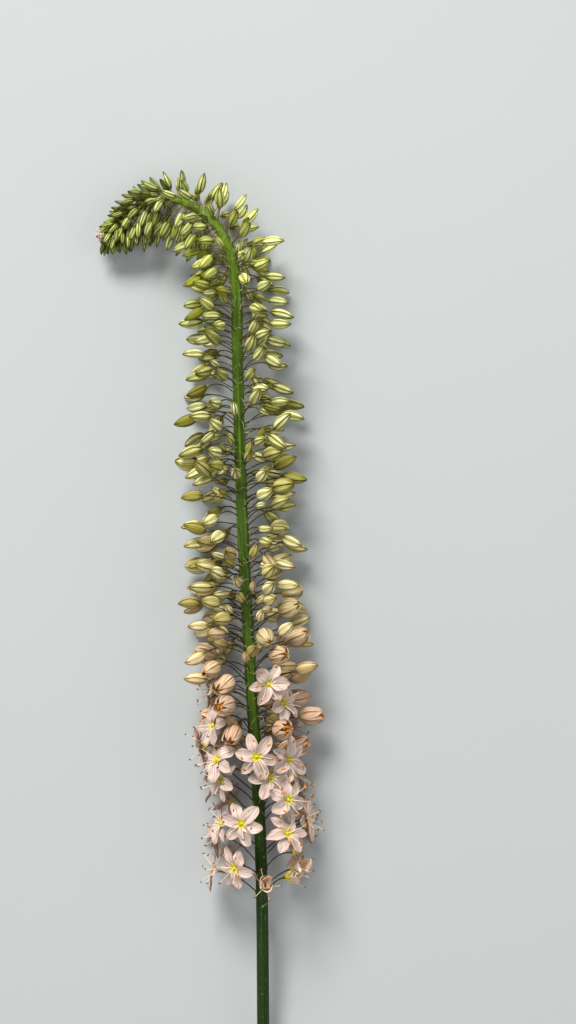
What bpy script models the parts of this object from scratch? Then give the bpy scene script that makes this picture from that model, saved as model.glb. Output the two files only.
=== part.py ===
"""A cut foxtail lily flower spike, lying on a flat surface.

The stalk lies along Y with its cut end at -Y, and the upper end of the spike droops
over towards -X. Lengths are in metres, +Z is up and the surface is at Z = 0.
The florets stand round the stalk in a golden-angle spiral: spent and open flowers
lowest, then opening buds, closed buds, and a dense head of small buds at the tip.
The stalk and its buds are one solid, and each flower on its own pedicel is another.
"""

import math
import random

import bmesh
import bpy
import numpy as np

# The stalk's route seen from above, from the cut end to the drooping tip
ROUTE = [
    (0.0460, -0.4610),
    (0.0460, -0.2610),
    (0.0440, -0.1110),
    (0.0360, 0.0290),
    (0.0280, 0.1790),
    (0.0240, 0.3190),
    (0.0230, 0.3640),
    (0.0180, 0.3960),
    (0.0020, 0.4230),
    (-0.0180, 0.4365),
    (-0.0370, 0.4425),
    (-0.0550, 0.4375),
    (-0.0720, 0.4245),
    (-0.0850, 0.4140),
]

STALK_SIDES = 10
CUT_END_RADIUS = 0.0056
REST_HEIGHT = CUT_END_RADIUS * math.cos(math.pi / STALK_SIDES)

# Each profile pairs a distance along the stalk from its cut end with a value there
STALK_RADIUS = [(0.06, CUT_END_RADIUS), (0.30, 0.0051), (0.85, 0.0047), (0.93, 0.0036), (0.99, 0.0018)]
CORE_RADIUS = [(0.920, 0.0), (0.945, 0.0068), (0.970, 0.0062), (0.99, 0.0034)]
STALK_HEIGHT = [(0.0, REST_HEIGHT), (0.06, REST_HEIGHT), (0.31, 0.031), (0.86, 0.031), (1.0, 0.0190)]
FLORET_GAP = [(0.30, 0.0054), (0.42, 0.0040), (0.50, 0.0024), (0.82, 0.0021), (0.90, 0.0014),
              (0.94, 0.00075), (1.0, 0.00050)]
PEDICEL_LENGTH = [(0.30, 0.040), (0.45, 0.036), (0.60, 0.034), (0.80, 0.029), (0.87, 0.022),
                  (0.92, 0.0155), (0.96, 0.0120), (0.99, 0.0070)]
PEDICEL_LEAN = [(0.30, 42.0), (0.45, 48.0), (0.60, 54.0), (0.88, 58.0), (0.93, 54.0), (0.97, 46.0),
                (0.99, 25.0)]
BUD_LENGTH = [(0.45, 0.0190), (0.80, 0.0175), (0.88, 0.0160), (0.93, 0.0130), (0.97, 0.0105), (0.99, 0.0085)]
BUD_SLIMNESS = [(0.45, 0.285), (0.80, 0.285), (0.93, 0.25), (0.99, 0.24)]
BUD_LEAN = [(0.45, 80.0), (0.85, 78.0), (0.91, 70.0), (0.94, 58.0), (0.97, 48.0), (0.99, 25.0)]
BUD_HANG = [(0.36, 0.0), (0.48, 0.8), (0.84, 1.0), (0.92, 1.7), (0.97, 1.5), (0.99, 0.9)]
INNER_SIDE_LENGTH = [(0.86, 0.0), (0.92, 0.75), (0.98, 0.85)]
ROOM = [(0.88, 1.0), (0.93, 0.72), (0.99, 0.5)]
OPEN_CHANCE = [(0.37, 1.0), (0.44, 0.45), (0.48, 0.0)]
OPENING_CHANCE = [(0.37, 0.0), (0.44, 0.5), (0.52, 0.45), (0.62, 0.08), (0.72, 0.0)]

RACEME_START = 0.301
RACEME_END = 0.990
DROOP_START = 0.846
HEAD_START = 0.935
SPENT_BELOW = 0.318
SPENT_SHARE = 0.5
FLOWERING = ("open", "spent")
GOLDEN_ANGLE = math.radians(137.508)

# Buds on the upper side part to left and right of the stalk, within this angle of straight up
PARTING = [(0.90, 0.32), (0.93, 0.0)]
PARTED = 0.45

# How far a floret strays from its natural place. One that finds no room there strays further
# round the stalk, and below it turns to the side and lies more level.
SEED = 11
ATTEMPTS = 50
TURN_STRAY = 0.10
TURN_STRAY_WITHOUT_ROOM = 0.50
SIDE_TURN = 1.1
SIDE_LEAN = 0.5
LEVELLING = 1.6
LEAN_STRAY = 10.0
NOD_STRAY = 14.0
HANG_RANGE = (0.4, 1.6)
PEDICEL_RANGE = (0.74, 1.10)
BUD_RANGE = (0.92, 1.08)
OPENNESS_RANGE = (0.86, 1.14)
TEPAL_RANGE = (0.94, 1.06)
BEND_SHARE = 0.55

PEDICEL_RADIUS = 0.00075
ROOT_DEPTH = 0.0022
ROOT_SHARE = 0.7
BUD_SIDES = 4
BUD_GIRTHS = ((0.25, 0.92), (0.62, 1.02))
HEAD_BUD_GIRTHS = ((0.42, 1.08),)
SWOLLEN = 0.41
SWOLLEN_STRAY = 0.5

TEPALS = 6
TEPAL_LENGTH = 0.0192
TEPAL_WIDTH = 0.0088
TEPAL_THICKNESS = 0.0009
TEPAL_CURVE = 0.35
CURVE_END = 0.625
NEIGHBOUR_ROOM = 0.9
OPEN_SPREAD = 80.0
SPENT_SPREAD = 0.42
LEAST_SPREAD = 12.0
SPREAD_STEP = 6.0
PIT_SHARE = 0.12
GAP_SHARE = 0.26
WIDEST_SHARE = 0.58
STYLE_LENGTH = 0.0042

# Clearances, and the spheres that stand for a floret where it must keep them. A bud's spheres
# may reach below the surface, because the bud lies on it, pressed a little flat.
SEAT_GAP = 0.0003
CLEARANCE = 0.0004
FLOWER_FLOOR = 0.0004
BUD_FLOOR = -0.0020
TEPAL_FLOOR = 0.0035
TEPAL_FLOOR_SHARES = (0.6, 1.0)
NEIGHBOURHOOD = 0.085
COVER_STEP = 0.0022
PEDICEL_COVER = 0.0011
TEPAL_COVER = ((0.25, 0.7, 0.0014), (0.45, 0.7, 0.0016), (0.62, 0.7, 0.0017), (0.80, 0.4, 0.0016),
               (0.97, 0.0, 0.0009))
THROAT_REACH = 0.003
THROAT_COVER = 0.0024
BUD_COVER = ((0.12, 0.55), (0.30, 0.95), (0.48, 1.0), (0.66, 0.9), (0.84, 0.55), (0.97, 0.2))
STALK_COVER_START = 0.2
STALK_COVER_STEP = 0.004

DOWN_THE_STALK = np.array([0.0, -1.0, 0.0])
UP = np.array([0.0, 0.0, 1.0])

# How the solids are faceted: every fourth bud below the head is left out of them
SCAPE_STEP = 0.045
RACEME_STEP = 0.036
ARCH_START = 0.82
ARCH_STEP = 0.0110
LEFT_OUT = 4
SHARP_ANGLE = math.radians(50)
SLAB_SIZE = (0.5, 1.2, 0.02)
SLAB_DROP = 1e-6

STALK_COLOUR = (0.13, 0.22, 0.05)
STALK_ROUGHNESS = 0.5
TEPAL_COLOUR = (0.80, 0.58, 0.50)
TEPAL_ROUGHNESS = 0.6


def unit(vector):
    return vector / np.linalg.norm(vector)


def profile(stations, at):
    """The value between two stations of a profile, in a straight line."""
    places, values = zip(*stations)
    return float(np.interp(at, places, values))


def eased(stations, at):
    """The value between two stations, level at each of them."""
    for (low, start), (high, end) in zip(stations, stations[1:]):
        if at <= high:
            share = max(0.0, (at - low) / (high - low))
            return start + (end - start) * share * share * (3 - 2 * share)
    return stations[-1][1]


def smooth_route(points, per_span=40):
    """Points on a smooth curve through the given ones, which may be unevenly spaced."""
    points = np.array(points)
    spans = np.linalg.norm(np.diff(points, axis=0), axis=1)
    slopes = np.gradient(points, np.concatenate([[0], np.cumsum(spans)]), axis=0)
    line = []
    for start, end, span, leave, arrive in zip(points, points[1:], spans, slopes, slopes[1:]):
        for s in np.linspace(0, 1, per_span, endpoint=False):
            place = (2 * s**3 - 3 * s**2 + 1) * start + (3 * s**2 - 2 * s**3) * end
            line.append(place + span * ((s**3 - 2 * s**2 + s) * leave + (s**3 - s**2) * arrive))
    return np.array(line + [points[-1]])


LINE = smooth_route(ROUTE)
ALONG = np.concatenate([[0], np.cumsum(np.linalg.norm(np.diff(LINE, axis=0), axis=1))])
STALK_LENGTH = float(ALONG[-1])


def stalk_centre(at):
    x, y = (np.interp(at, ALONG, LINE[:, k]) for k in range(2))
    return np.array([x, y, eased(STALK_HEIGHT, at)])


def stalk_frame(at):
    """Centre of the stalk there, its direction towards the tip, and the two ways across it."""
    reach = 0.001
    at = min(max(at, reach), STALK_LENGTH - reach)
    along = unit(stalk_centre(at + reach) - stalk_centre(at - reach))
    up = unit(UP - (UP @ along) * along)
    return stalk_centre(at), along, up, np.cross(along, up)


def across(direction):
    """Two unit vectors at right angles to a direction and to each other."""
    first = unit(np.cross(direction, UP if abs(direction[2]) < 0.9 else DOWN_THE_STALK))
    return first, np.cross(direction, first)


def bent(start, start_way, end_way, length, share):
    """A point on a pedicel that leaves one way and arrives another."""
    return start + length * (start_way * (share - share * share / 2) + end_way * (share * share / 2))


def tepal_way(flower, k, share):
    """Direction from a flower's neck to tepal k at a share of its length, and the way its face looks.

    A whole k is the middle of a tepal, and a half is the gap beside it.
    """
    first, second = across(flower["face"])
    turn = flower["twist"] + k * math.tau / TEPALS
    radial = math.cos(turn) * first + math.sin(turn) * second
    low, high = flower["spread"][math.floor(k) % TEPALS], flower["spread"][math.ceil(k) % TEPALS]
    spread = math.radians((low + high) / 2)
    bow = spread * (TEPAL_CURVE + (1 - TEPAL_CURVE) * min(1.0, share / CURVE_END))
    way = math.cos(bow) * flower["face"] + math.sin(bow) * radial
    return way, math.sin(bow) * flower["face"] - math.cos(bow) * radial


def tepal_point(flower, k, share, sideways=0.0):
    """A point on tepal k, at a share of its length and so far to one side of its middle."""
    way, inward = tepal_way(flower, k, share)
    return flower["neck"] + way * share * flower["tepal"] + np.cross(way, inward) * sideways


def half_width(flower, k, share):
    """Half of a tepal's width, no more than the room between its neighbours."""
    way, _ = tepal_way(flower, k, share)
    from_axis = math.sqrt(max(0.0, 1 - (way @ flower["face"]) ** 2)) * share * flower["tepal"]
    return min(TEPAL_WIDTH / 2, NEIGHBOUR_ROOM * from_axis * math.tan(math.pi / TEPALS))


def balls_of(floret):
    """Spheres that cover a floret, for keeping it clear of the others and of the surface."""
    legs = [floret["root"], floret["bend"], floret["neck"]]
    balls = []
    for start, end in zip(legs, legs[1:]):
        steps = max(2, int(np.linalg.norm(end - start) / COVER_STEP))
        balls += [(start + (end - start) * s / steps, PEDICEL_COVER) for s in range(1, steps + 1)]
    neck, face = floret["neck"], floret["face"]
    if floret["stage"] in FLOWERING:
        for k in range(TEPALS):
            for share, reach, size in TEPAL_COVER:
                edge = half_width(floret, k, share) * reach
                balls += [(tepal_point(floret, k, share, s * edge), size) for s in (-1, 0, 1)]
        balls.append((neck + face * THROAT_REACH, THROAT_COVER))
    else:
        for share, size in BUD_COVER:
            balls.append((neck + face * floret["length"] * share, floret["radius"] * size))
    centres, sizes = zip(*balls)
    return np.array(centres), np.array(sizes)


def press_open(flower):
    """Set how far each tepal spreads from the flower's axis: less where the surface is in the way."""
    flower["spread"] = [OPEN_SPREAD * flower["openness"]] * TEPALS
    for k in range(TEPALS):
        while flower["spread"][k] > LEAST_SPREAD:
            if min(tepal_point(flower, k, share)[2] for share in TEPAL_FLOOR_SHARES) > TEPAL_FLOOR:
                break
            flower["spread"][k] -= SPREAD_STEP


def grow_floret(at, turn, stage, loose, rng):
    """One floret. Loose, from 0 to 1, is how far it may bend from its natural place."""
    centre, along, up, side = stalk_frame(at)
    azimuth = math.remainder(turn, math.tau)
    azimuth += math.copysign(profile(PARTING, at) * math.exp(-(azimuth / PARTED) ** 2), azimuth)
    azimuth += rng.gauss(0, TURN_STRAY + TURN_STRAY_WITHOUT_ROOM * loose)
    flat = loose * max(0.0, -math.cos(azimuth))
    azimuth -= math.copysign(SIDE_TURN * flat, math.sin(azimuth))
    out = math.cos(azimuth) * up + math.sin(azimuth) * side
    inner = out @ DOWN_THE_STALK
    lean = math.radians(profile(PEDICEL_LEAN, at) * (1 - SIDE_LEAN * flat) + rng.gauss(0, LEAN_STRAY))
    nod = math.radians(profile(BUD_LEAN, at) + rng.gauss(0, NOD_STRAY))
    leave = math.cos(lean) * along + math.sin(lean) * out
    hang = max(0.0, profile(BUD_HANG, at) * (0.5 + inner) * rng.uniform(*HANG_RANGE))
    face = unit(math.cos(nod) * along + math.sin(nod) * out + hang * DOWN_THE_STALK)
    if face[2] < 0:
        face = unit(face * [1, 1, 1 - min(1.0, LEVELLING * flat)])
    length = profile(PEDICEL_LENGTH, at) * (1 + profile(INNER_SIDE_LENGTH, at) * inner)
    length *= rng.uniform(*PEDICEL_RANGE)
    root = centre + out * profile(STALK_RADIUS, at)
    bud = profile(BUD_LENGTH, at) * rng.uniform(*BUD_RANGE)
    floret = {
        "at": at,
        "stage": stage,
        "out": out,
        "root": root,
        "leave": leave,
        "stretch": length,
        "bend": bent(root, leave, face, length, BEND_SHARE),
        "neck": bent(root, leave, face, length, 1.0),
        "face": face,
        "length": bud,
        "radius": bud * profile(BUD_SLIMNESS, at) * rng.uniform(*BUD_RANGE),
        "twist": rng.uniform(0, math.tau),
        "openness": rng.uniform(*OPENNESS_RANGE),
        "tepal": TEPAL_LENGTH * rng.uniform(*TEPAL_RANGE),
    }
    if stage == "opening":
        floret["radius"] = bud * (SWOLLEN + (floret["openness"] - 1) * SWOLLEN_STRAY)
    if stage == "spent":
        floret["openness"] *= SPENT_SPREAD
    if stage in FLOWERING:
        press_open(floret)
    return floret


def draw_stage(at, rng):
    draw = rng.random()
    if at < SPENT_BELOW:
        return "spent" if draw < SPENT_SHARE else "open"
    if draw < profile(OPEN_CHANCE, at):
        return "open"
    return "opening" if draw < profile(OPEN_CHANCE, at) + profile(OPENING_CHANCE, at) else "bud"


def grow_florets():
    """Every floret, from the lowest flower to the tip. One that finds no room is left out."""
    rng = random.Random(SEED)
    places = np.arange(STALK_COVER_START, STALK_LENGTH, STALK_COVER_STEP)
    stalk = np.array([stalk_centre(s) for s in places])
    stalk_radii = np.array([profile(STALK_RADIUS, s) for s in places])
    florets, covers = [], []
    at, turn = RACEME_START, 0.0
    while at < RACEME_END:
        stage = draw_stage(at, rng)
        floor = FLOWER_FLOOR if stage in FLOWERING else BUD_FLOOR
        room = profile(ROOM, at)
        for attempt in range(ATTEMPTS):
            floret = grow_floret(at, turn, stage, attempt / ATTEMPTS, rng)
            centres, radii = balls_of(floret)
            if (centres[:, 2] - radii).min() < floor:
                continue
            from_stalk = np.linalg.norm(centres[2:, None] - stalk[None], axis=2)
            if (from_stalk < room * (radii[2:, None] + stalk_radii[None])).any():
                continue
            near = [c for f, c in zip(florets, covers)
                    if np.linalg.norm(f["neck"] - floret["neck"]) < NEIGHBOURHOOD]
            if near:
                taken = np.concatenate([c[0] for c in near])
                taken_radii = np.concatenate([c[1] for c in near])
                gaps = np.linalg.norm(centres[:, None] - taken[None], axis=2)
                if (gaps < room * (radii[:, None] + taken_radii[None] + CLEARANCE)).any():
                    continue
            florets.append(floret)
            covers.append((centres, radii))
            break
        at += profile(FLORET_GAP, at)
        turn += GOLDEN_ANGLE
    return florets


def ring(centre, axis, radius, sides, reference, half_turn=0.0):
    """Points round an axis, counted anticlockwise from the side that faces the reference."""
    first = unit(reference - (reference @ axis) * axis)
    second = np.cross(axis, first)
    turns = [(k + half_turn) * math.tau / sides for k in range(sides)]
    return [centre + radius * (math.cos(t) * first + math.sin(t) * second) for t in turns]


def skin(bm, low, high):
    """Triangles between two rows of points, which need not have equal counts; one point is a tip."""
    a = b = 0
    low_steps = len(low) if len(low) > 1 else 0
    high_steps = len(high) if len(high) > 1 else 0
    while a < low_steps or b < high_steps:
        low_is_behind = (a + 1) * high_steps <= (b + 1) * low_steps
        if a < low_steps and (b == high_steps or low_is_behind):
            bm.faces.new((low[a], low[(a + 1) % len(low)], high[b % len(high)]))
            a += 1
        else:
            bm.faces.new((low[a % len(low)], high[(b + 1) % len(high)], high[b]))
            b += 1


def loft(bm, rings):
    """Skin from each ring of points to the next, with the first one capped."""
    rows = [[bm.verts.new(point) for point in points] for points in rings]
    for low, high in zip(rows, rows[1:]):
        skin(bm, low, high)
    bm.faces.new(reversed(rows[0]))
    return rows


def solid(name, bm, material):
    bmesh.ops.recalc_face_normals(bm, faces=bm.faces)
    mesh = bpy.data.meshes.new(name)
    bm.to_mesh(mesh)
    bm.free()
    mesh.materials.append(material)
    mesh.shade_smooth()
    mesh.set_sharp_from_angle(angle=SHARP_ANGLE)
    obj = bpy.data.objects.new(name, mesh)
    bpy.context.scene.collection.objects.link(obj)
    return obj


def plain_material(name, colour, roughness):
    material = bpy.data.materials.new(name)
    material.use_nodes = True
    shader = material.node_tree.nodes["Principled BSDF"]
    shader.inputs["Base Color"].default_value = (*colour, 1.0)
    shader.inputs["Roughness"].default_value = roughness
    shader.inputs["Metallic"].default_value = 0.0
    return material


def make_stalk(material):
    """The stalk, with a flat side down at its cut end, and a fat core inside the head of buds."""
    places = [
        *np.arange(0.0, RACEME_START, SCAPE_STEP),
        *np.arange(RACEME_START, ARCH_START, RACEME_STEP),
        *np.arange(ARCH_START, STALK_LENGTH - ARCH_STEP / 2, ARCH_STEP),
        STALK_LENGTH,
    ]
    bm = bmesh.new()
    rings = []
    for at in places:
        centre, along, up, _ = stalk_frame(at)
        if at == 0.0:
            along, up = np.array([0.0, 1.0, 0.0]), UP
        radius = max(profile(STALK_RADIUS, at), profile(CORE_RADIUS, at))
        rings.append(ring(centre, along, radius, STALK_SIDES, up, 0.5))
    rows = loft(bm, rings)
    bm.faces.new(rows[-1])
    return solid("stalk_with_buds", bm, material)


def pedicel_rings(floret, root):
    """Three-sided rings from the root to the neck of a floret."""
    reference = across(floret["face"])[0]
    middle_way = unit(floret["neck"] - floret["root"])
    return [
        ring(root, floret["leave"], PEDICEL_RADIUS, 3, reference),
        ring(floret["bend"], middle_way, PEDICEL_RADIUS, 3, reference),
        ring(floret["neck"], floret["face"], PEDICEL_RADIUS, 3, reference),
    ]


def make_bud(floret, name, material):
    """A closed bud on its pedicel, with the root sunk into the stalk."""
    depth = min(ROOT_DEPTH, ROOT_SHARE * profile(STALK_RADIUS, floret["at"]))
    rings = pedicel_rings(floret, floret["root"] - floret["out"] * depth)
    if floret["at"] > DROOP_START:
        rings.pop(1)
    neck, face = floret["neck"], floret["face"]
    reference = across(face)[0]
    for share, size in HEAD_BUD_GIRTHS if floret["at"] > HEAD_START else BUD_GIRTHS:
        middle = neck + face * floret["length"] * share
        rings.append(ring(middle, face, floret["radius"] * size, BUD_SIDES, reference))
    bm = bmesh.new()
    loft(bm, rings + [[neck + face * floret["length"]]])
    return solid(name, bm, material)


def make_flower(flower, name, material):
    """A flower on its pedicel, just off the stalk: six tepals in one star-shaped shell."""
    lean = flower["leave"] @ flower["out"]
    lift = SEAT_GAP + PEDICEL_RADIUS * math.sqrt(max(0.0, 1 - lean * lean))
    bm = bmesh.new()
    pedicel = loft(bm, pedicel_rings(flower, flower["root"] + flower["out"] * lift))

    def shell(k, share, sideways=0.0):
        """Matching points on the front and the back of the shell."""
        front = tepal_point(flower, k, share, sideways)
        back = front - tepal_way(flower, k, share)[1] * TEPAL_THICKNESS
        return bm.verts.new(front), bm.verts.new(back)

    pit = [shell(k, PIT_SHARE) for k in range(TEPALS)]
    gaps = [shell(k - 0.5, GAP_SHARE) for k in range(TEPALS)]
    style = bm.verts.new(flower["neck"] + flower["face"] * STYLE_LENGTH)
    for k in range(TEPALS):
        edge = half_width(flower, k, WIDEST_SHARE)
        sides = [shell(k, WIDEST_SHARE, s * edge) for s in (1, -1)]
        outline = [gaps[k], sides[0], shell(k, 1.0), sides[1], gaps[(k + 1) % TEPALS]]
        inside, beyond = pit[k], pit[(k + 1) % TEPALS]
        for one, other in zip(outline, outline[1:]):
            bm.faces.new((inside[0], one[0], other[0]))
            bm.faces.new((inside[1], other[1], one[1]))
            bm.faces.new((one[0], one[1], other[1]))
            bm.faces.new((one[0], other[1], other[0]))
        bm.faces.new((inside[0], outline[-1][0], beyond[0]))
        bm.faces.new((inside[1], beyond[1], outline[-1][1]))
        bm.faces.new((style, inside[0], beyond[0]))
    nearest = round(-flower["twist"] / (math.tau / TEPALS))
    skin(bm, pedicel[-1], [pit[(nearest + k) % TEPALS][1] for k in range(TEPALS)])
    return solid(name, bm, material)


def make_slab(material):
    """What lies below the surface, as a block to cut away."""
    bm = bmesh.new()
    bmesh.ops.create_cube(bm, size=1.0)
    bmesh.ops.scale(bm, vec=SLAB_SIZE, verts=bm.verts)
    bmesh.ops.translate(bm, vec=(0.0, 0.0, -SLAB_SIZE[2] / 2 - SLAB_DROP), verts=bm.verts)
    return solid("slab", bm, material)


def fuse(base, pieces):
    """Join the pieces to the base in one body, with flat spots where it would reach below the surface."""
    group = bpy.data.collections.new("repeats")
    for piece in pieces:
        group.objects.link(piece)
    union = base.modifiers.new("fuse", "BOOLEAN")
    union.operation = "UNION"
    union.operand_type = "COLLECTION"
    union.collection = group
    union.solver = "MANIFOLD"
    slab = make_slab(base.data.materials[0])
    level = base.modifiers.new("level", "BOOLEAN")
    level.operation = "DIFFERENCE"
    level.object = slab
    level.solver = "EXACT"
    evaluated = base.evaluated_get(bpy.context.evaluated_depsgraph_get())
    fused = bpy.data.meshes.new_from_object(evaluated)
    base.modifiers.clear()
    base.data = fused
    for piece in pieces + [slab]:
        bpy.data.objects.remove(piece, do_unlink=True)
    bpy.data.collections.remove(group)


def main():
    for old in list(bpy.data.objects):
        bpy.data.objects.remove(old, do_unlink=True)
    green = plain_material("stalk_green", STALK_COLOUR, STALK_ROUGHNESS)
    pink = plain_material("tepal_pink", TEPAL_COLOUR, TEPAL_ROUGHNESS)
    florets = grow_florets()
    buds = [f for f in florets if f["stage"] not in FLOWERING]
    flowers = [f for f in florets if f["stage"] in FLOWERING]
    held = [b for k, b in enumerate(buds) if b["at"] > HEAD_START or k % LEFT_OUT]
    fuse(make_stalk(green), [make_bud(b, f"bud_{k}", green) for k, b in enumerate(held)])
    for k, flower in enumerate(flowers, start=1):
        make_flower(flower, f"flower_{k:02}", pink)
    print(len(held), "of", len(buds), "buds, and", len(flowers), "flowers")


if __name__ == "__main__":
    main()
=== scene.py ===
# %% [markdown]
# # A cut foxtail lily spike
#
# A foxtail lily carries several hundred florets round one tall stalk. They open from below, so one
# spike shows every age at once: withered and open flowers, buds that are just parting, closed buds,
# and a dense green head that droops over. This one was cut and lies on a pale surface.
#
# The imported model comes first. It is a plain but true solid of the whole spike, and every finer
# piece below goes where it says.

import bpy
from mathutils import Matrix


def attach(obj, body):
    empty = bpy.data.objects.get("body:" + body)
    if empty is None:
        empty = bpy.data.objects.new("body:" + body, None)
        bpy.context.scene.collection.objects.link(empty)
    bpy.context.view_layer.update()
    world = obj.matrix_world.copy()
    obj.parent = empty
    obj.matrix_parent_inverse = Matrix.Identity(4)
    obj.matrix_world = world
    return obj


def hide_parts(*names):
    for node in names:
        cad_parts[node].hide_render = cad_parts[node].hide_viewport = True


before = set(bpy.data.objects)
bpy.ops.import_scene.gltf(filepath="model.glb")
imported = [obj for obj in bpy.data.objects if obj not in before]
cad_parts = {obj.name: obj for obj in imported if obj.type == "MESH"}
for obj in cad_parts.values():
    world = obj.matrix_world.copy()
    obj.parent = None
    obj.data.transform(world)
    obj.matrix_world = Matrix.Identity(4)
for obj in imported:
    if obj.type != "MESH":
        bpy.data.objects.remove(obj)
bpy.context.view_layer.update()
FLOWER_NODES = sorted(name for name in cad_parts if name.startswith("flower_"))
STALK_NODE = "stalk_with_buds"
print("the packed model has", len(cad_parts), "nodes, and", len(FLOWER_NODES), "are flowers")

# %% [markdown]
# ## The camera
#
# The photograph looks at a spike that stands upright. Here it lies down, so the same view is from
# straight above. A camera could be moved by hand until the view looks right. Here it is worked out:
# one pixel of the photograph is 0.85 mm at the height of the stalk, and one point of the stalk is
# known in both. It stands two metres off, because a near camera would swell the flowers that stand
# up towards it.

# %% Camera
import math

import bpy

PHOTO_WIDTH, PHOTO_HEIGHT = 576, 1024
METRES_PER_PIXEL = 0.00085
STALK_LEAVES_PHOTO_AT = (263, 1024)
STALK_THERE = (0.046, -0.261)
STALK_ABOVE_SURFACE = 0.031
CAMERA_DISTANCE = 2.0
SENSOR_HEIGHT = 24.0

view_x = STALK_THERE[0] + (PHOTO_WIDTH / 2 - STALK_LEAVES_PHOTO_AT[0]) * METRES_PER_PIXEL
view_y = STALK_THERE[1] + (STALK_LEAVES_PHOTO_AT[1] - PHOTO_HEIGHT / 2) * METRES_PER_PIXEL
camera_data = bpy.data.cameras.new("camera")
camera_data.sensor_fit = "VERTICAL"
camera_data.sensor_height = SENSOR_HEIGHT
camera_data.lens = SENSOR_HEIGHT * CAMERA_DISTANCE / (PHOTO_HEIGHT * METRES_PER_PIXEL)
camera = bpy.data.objects.new("camera", camera_data)
camera.location = (view_x, view_y, STALK_ABOVE_SURFACE + CAMERA_DISTANCE)
bpy.context.scene.collection.objects.link(camera)
bpy.context.scene.camera = camera
print(f"the camera's lens is {camera_data.lens:.1f} mm")

# %% [markdown]
# ## The line of the stalk
#
# The stalk is the line on which everything else stands. It could be a curve object that is bent by
# hand, but then the florets would have to ask Blender where it runs. Here it is a smooth line
# through a few points, worked out in plain numbers, because a real stalk bends evenly.
#
# Whatever changes along the stalk is a profile: pairs of a distance from the cut end, in metres,
# and a value. The stalk's own thickness, and its height above the surface, are the first two.

# %% How thick and how high the stalk is
import numpy as np

CUT_END_RADIUS = 0.0056
SOLID_STALK_SIDES = 10
REST_HEIGHT = CUT_END_RADIUS * math.cos(math.pi / SOLID_STALK_SIDES)
STALK_RADIUS = [(0.06, CUT_END_RADIUS), (0.30, 0.0051), (0.85, 0.0047), (0.93, 0.0036), (0.99, 0.0018)]
STALK_HEIGHT = [(0.0, REST_HEIGHT), (0.06, REST_HEIGHT), (0.31, 0.031), (0.86, 0.031), (1.0, 0.0190)]


def profile(stations, at):
    """The value between two stations of a profile, in a straight line."""
    places, values = zip(*stations)
    return float(np.interp(at, places, values))


def eased(stations, at):
    """The value between two stations, level at each of them."""
    for (low, start), (high, end) in zip(stations, stations[1:]):
        if at <= high:
            share = max(0.0, (at - low) / (high - low))
            return start + (end - start) * share * share * (3 - 2 * share)
    return stations[-1][1]


print(f"half way up, the stalk is {2000 * profile(STALK_RADIUS, 0.5):.1f} mm thick")
print(f"half way up, its middle is {1000 * eased(STALK_HEIGHT, 0.5):.1f} mm above the surface")

# %% The stalk's line
ROUTE = [
    (0.0460, -0.4610),
    (0.0460, -0.2610),
    (0.0440, -0.1110),
    (0.0360, 0.0290),
    (0.0280, 0.1790),
    (0.0240, 0.3190),
    (0.0230, 0.3640),
    (0.0180, 0.3960),
    (0.0020, 0.4230),
    (-0.0180, 0.4365),
    (-0.0370, 0.4425),
    (-0.0550, 0.4375),
    (-0.0720, 0.4245),
    (-0.0850, 0.4140),
]
STEPS_PER_SPAN = 40


def smooth_route(points):
    """Points on a smooth curve through the given ones, which may be unevenly spaced."""
    points = np.array(points)
    spans = np.linalg.norm(np.diff(points, axis=0), axis=1)
    slopes = np.gradient(points, np.concatenate([[0], np.cumsum(spans)]), axis=0)
    line = []
    for start, end, span, leave, arrive in zip(points, points[1:], spans, slopes, slopes[1:]):
        for s in np.linspace(0, 1, STEPS_PER_SPAN, endpoint=False):
            place = (2 * s**3 - 3 * s**2 + 1) * start + (3 * s**2 - 2 * s**3) * end
            line.append(place + span * ((s**3 - 2 * s**2 + s) * leave + (s**3 - s**2) * arrive))
    return np.array(line + [points[-1]])


LINE = smooth_route(ROUTE)
ALONG = np.concatenate([[0], np.cumsum(np.linalg.norm(np.diff(LINE, axis=0), axis=1))])
STALK_LENGTH = float(ALONG[-1])


def stalk_centre(at):
    """The middle of the stalk, so far from its cut end."""
    x, y = (np.interp(at, ALONG, LINE[:, k]) for k in range(2))
    return np.array([x, y, eased(STALK_HEIGHT, at)])


print(f"the stalk is {STALK_LENGTH:.3f} m long and ends at", stalk_centre(STALK_LENGTH).round(3))

# %% Directions on the stalk
UP = np.array([0.0, 0.0, 1.0])
DOWN_THE_STALK = np.array([0.0, -1.0, 0.0])
STEEP = 0.9
FRAME_REACH = 0.001


def unit(vector):
    """The direction of a vector, with a length of 1."""
    return vector / np.linalg.norm(vector)


def stalk_frame(at):
    """Centre of the stalk there, its direction towards the tip, and the two ways across it."""
    at = min(max(at, FRAME_REACH), STALK_LENGTH - FRAME_REACH)
    along = unit(stalk_centre(at + FRAME_REACH) - stalk_centre(at - FRAME_REACH))
    up = unit(UP - (UP @ along) * along)
    return stalk_centre(at), along, up, np.cross(along, up)


def across(direction):
    """Two unit vectors at right angles to a direction and to each other."""
    first = unit(np.cross(direction, UP if abs(direction[2]) < STEEP else DOWN_THE_STALK))
    return first, np.cross(direction, first)


def bent(start, start_way, end_way, length, share):
    """A point on a pedicel that leaves one way and arrives another."""
    return start + length * (start_way * (share - share * share / 2) + end_way * (share * share / 2))


print("at its tip the stalk runs towards", stalk_frame(STALK_LENGTH)[1].round(2))

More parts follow.
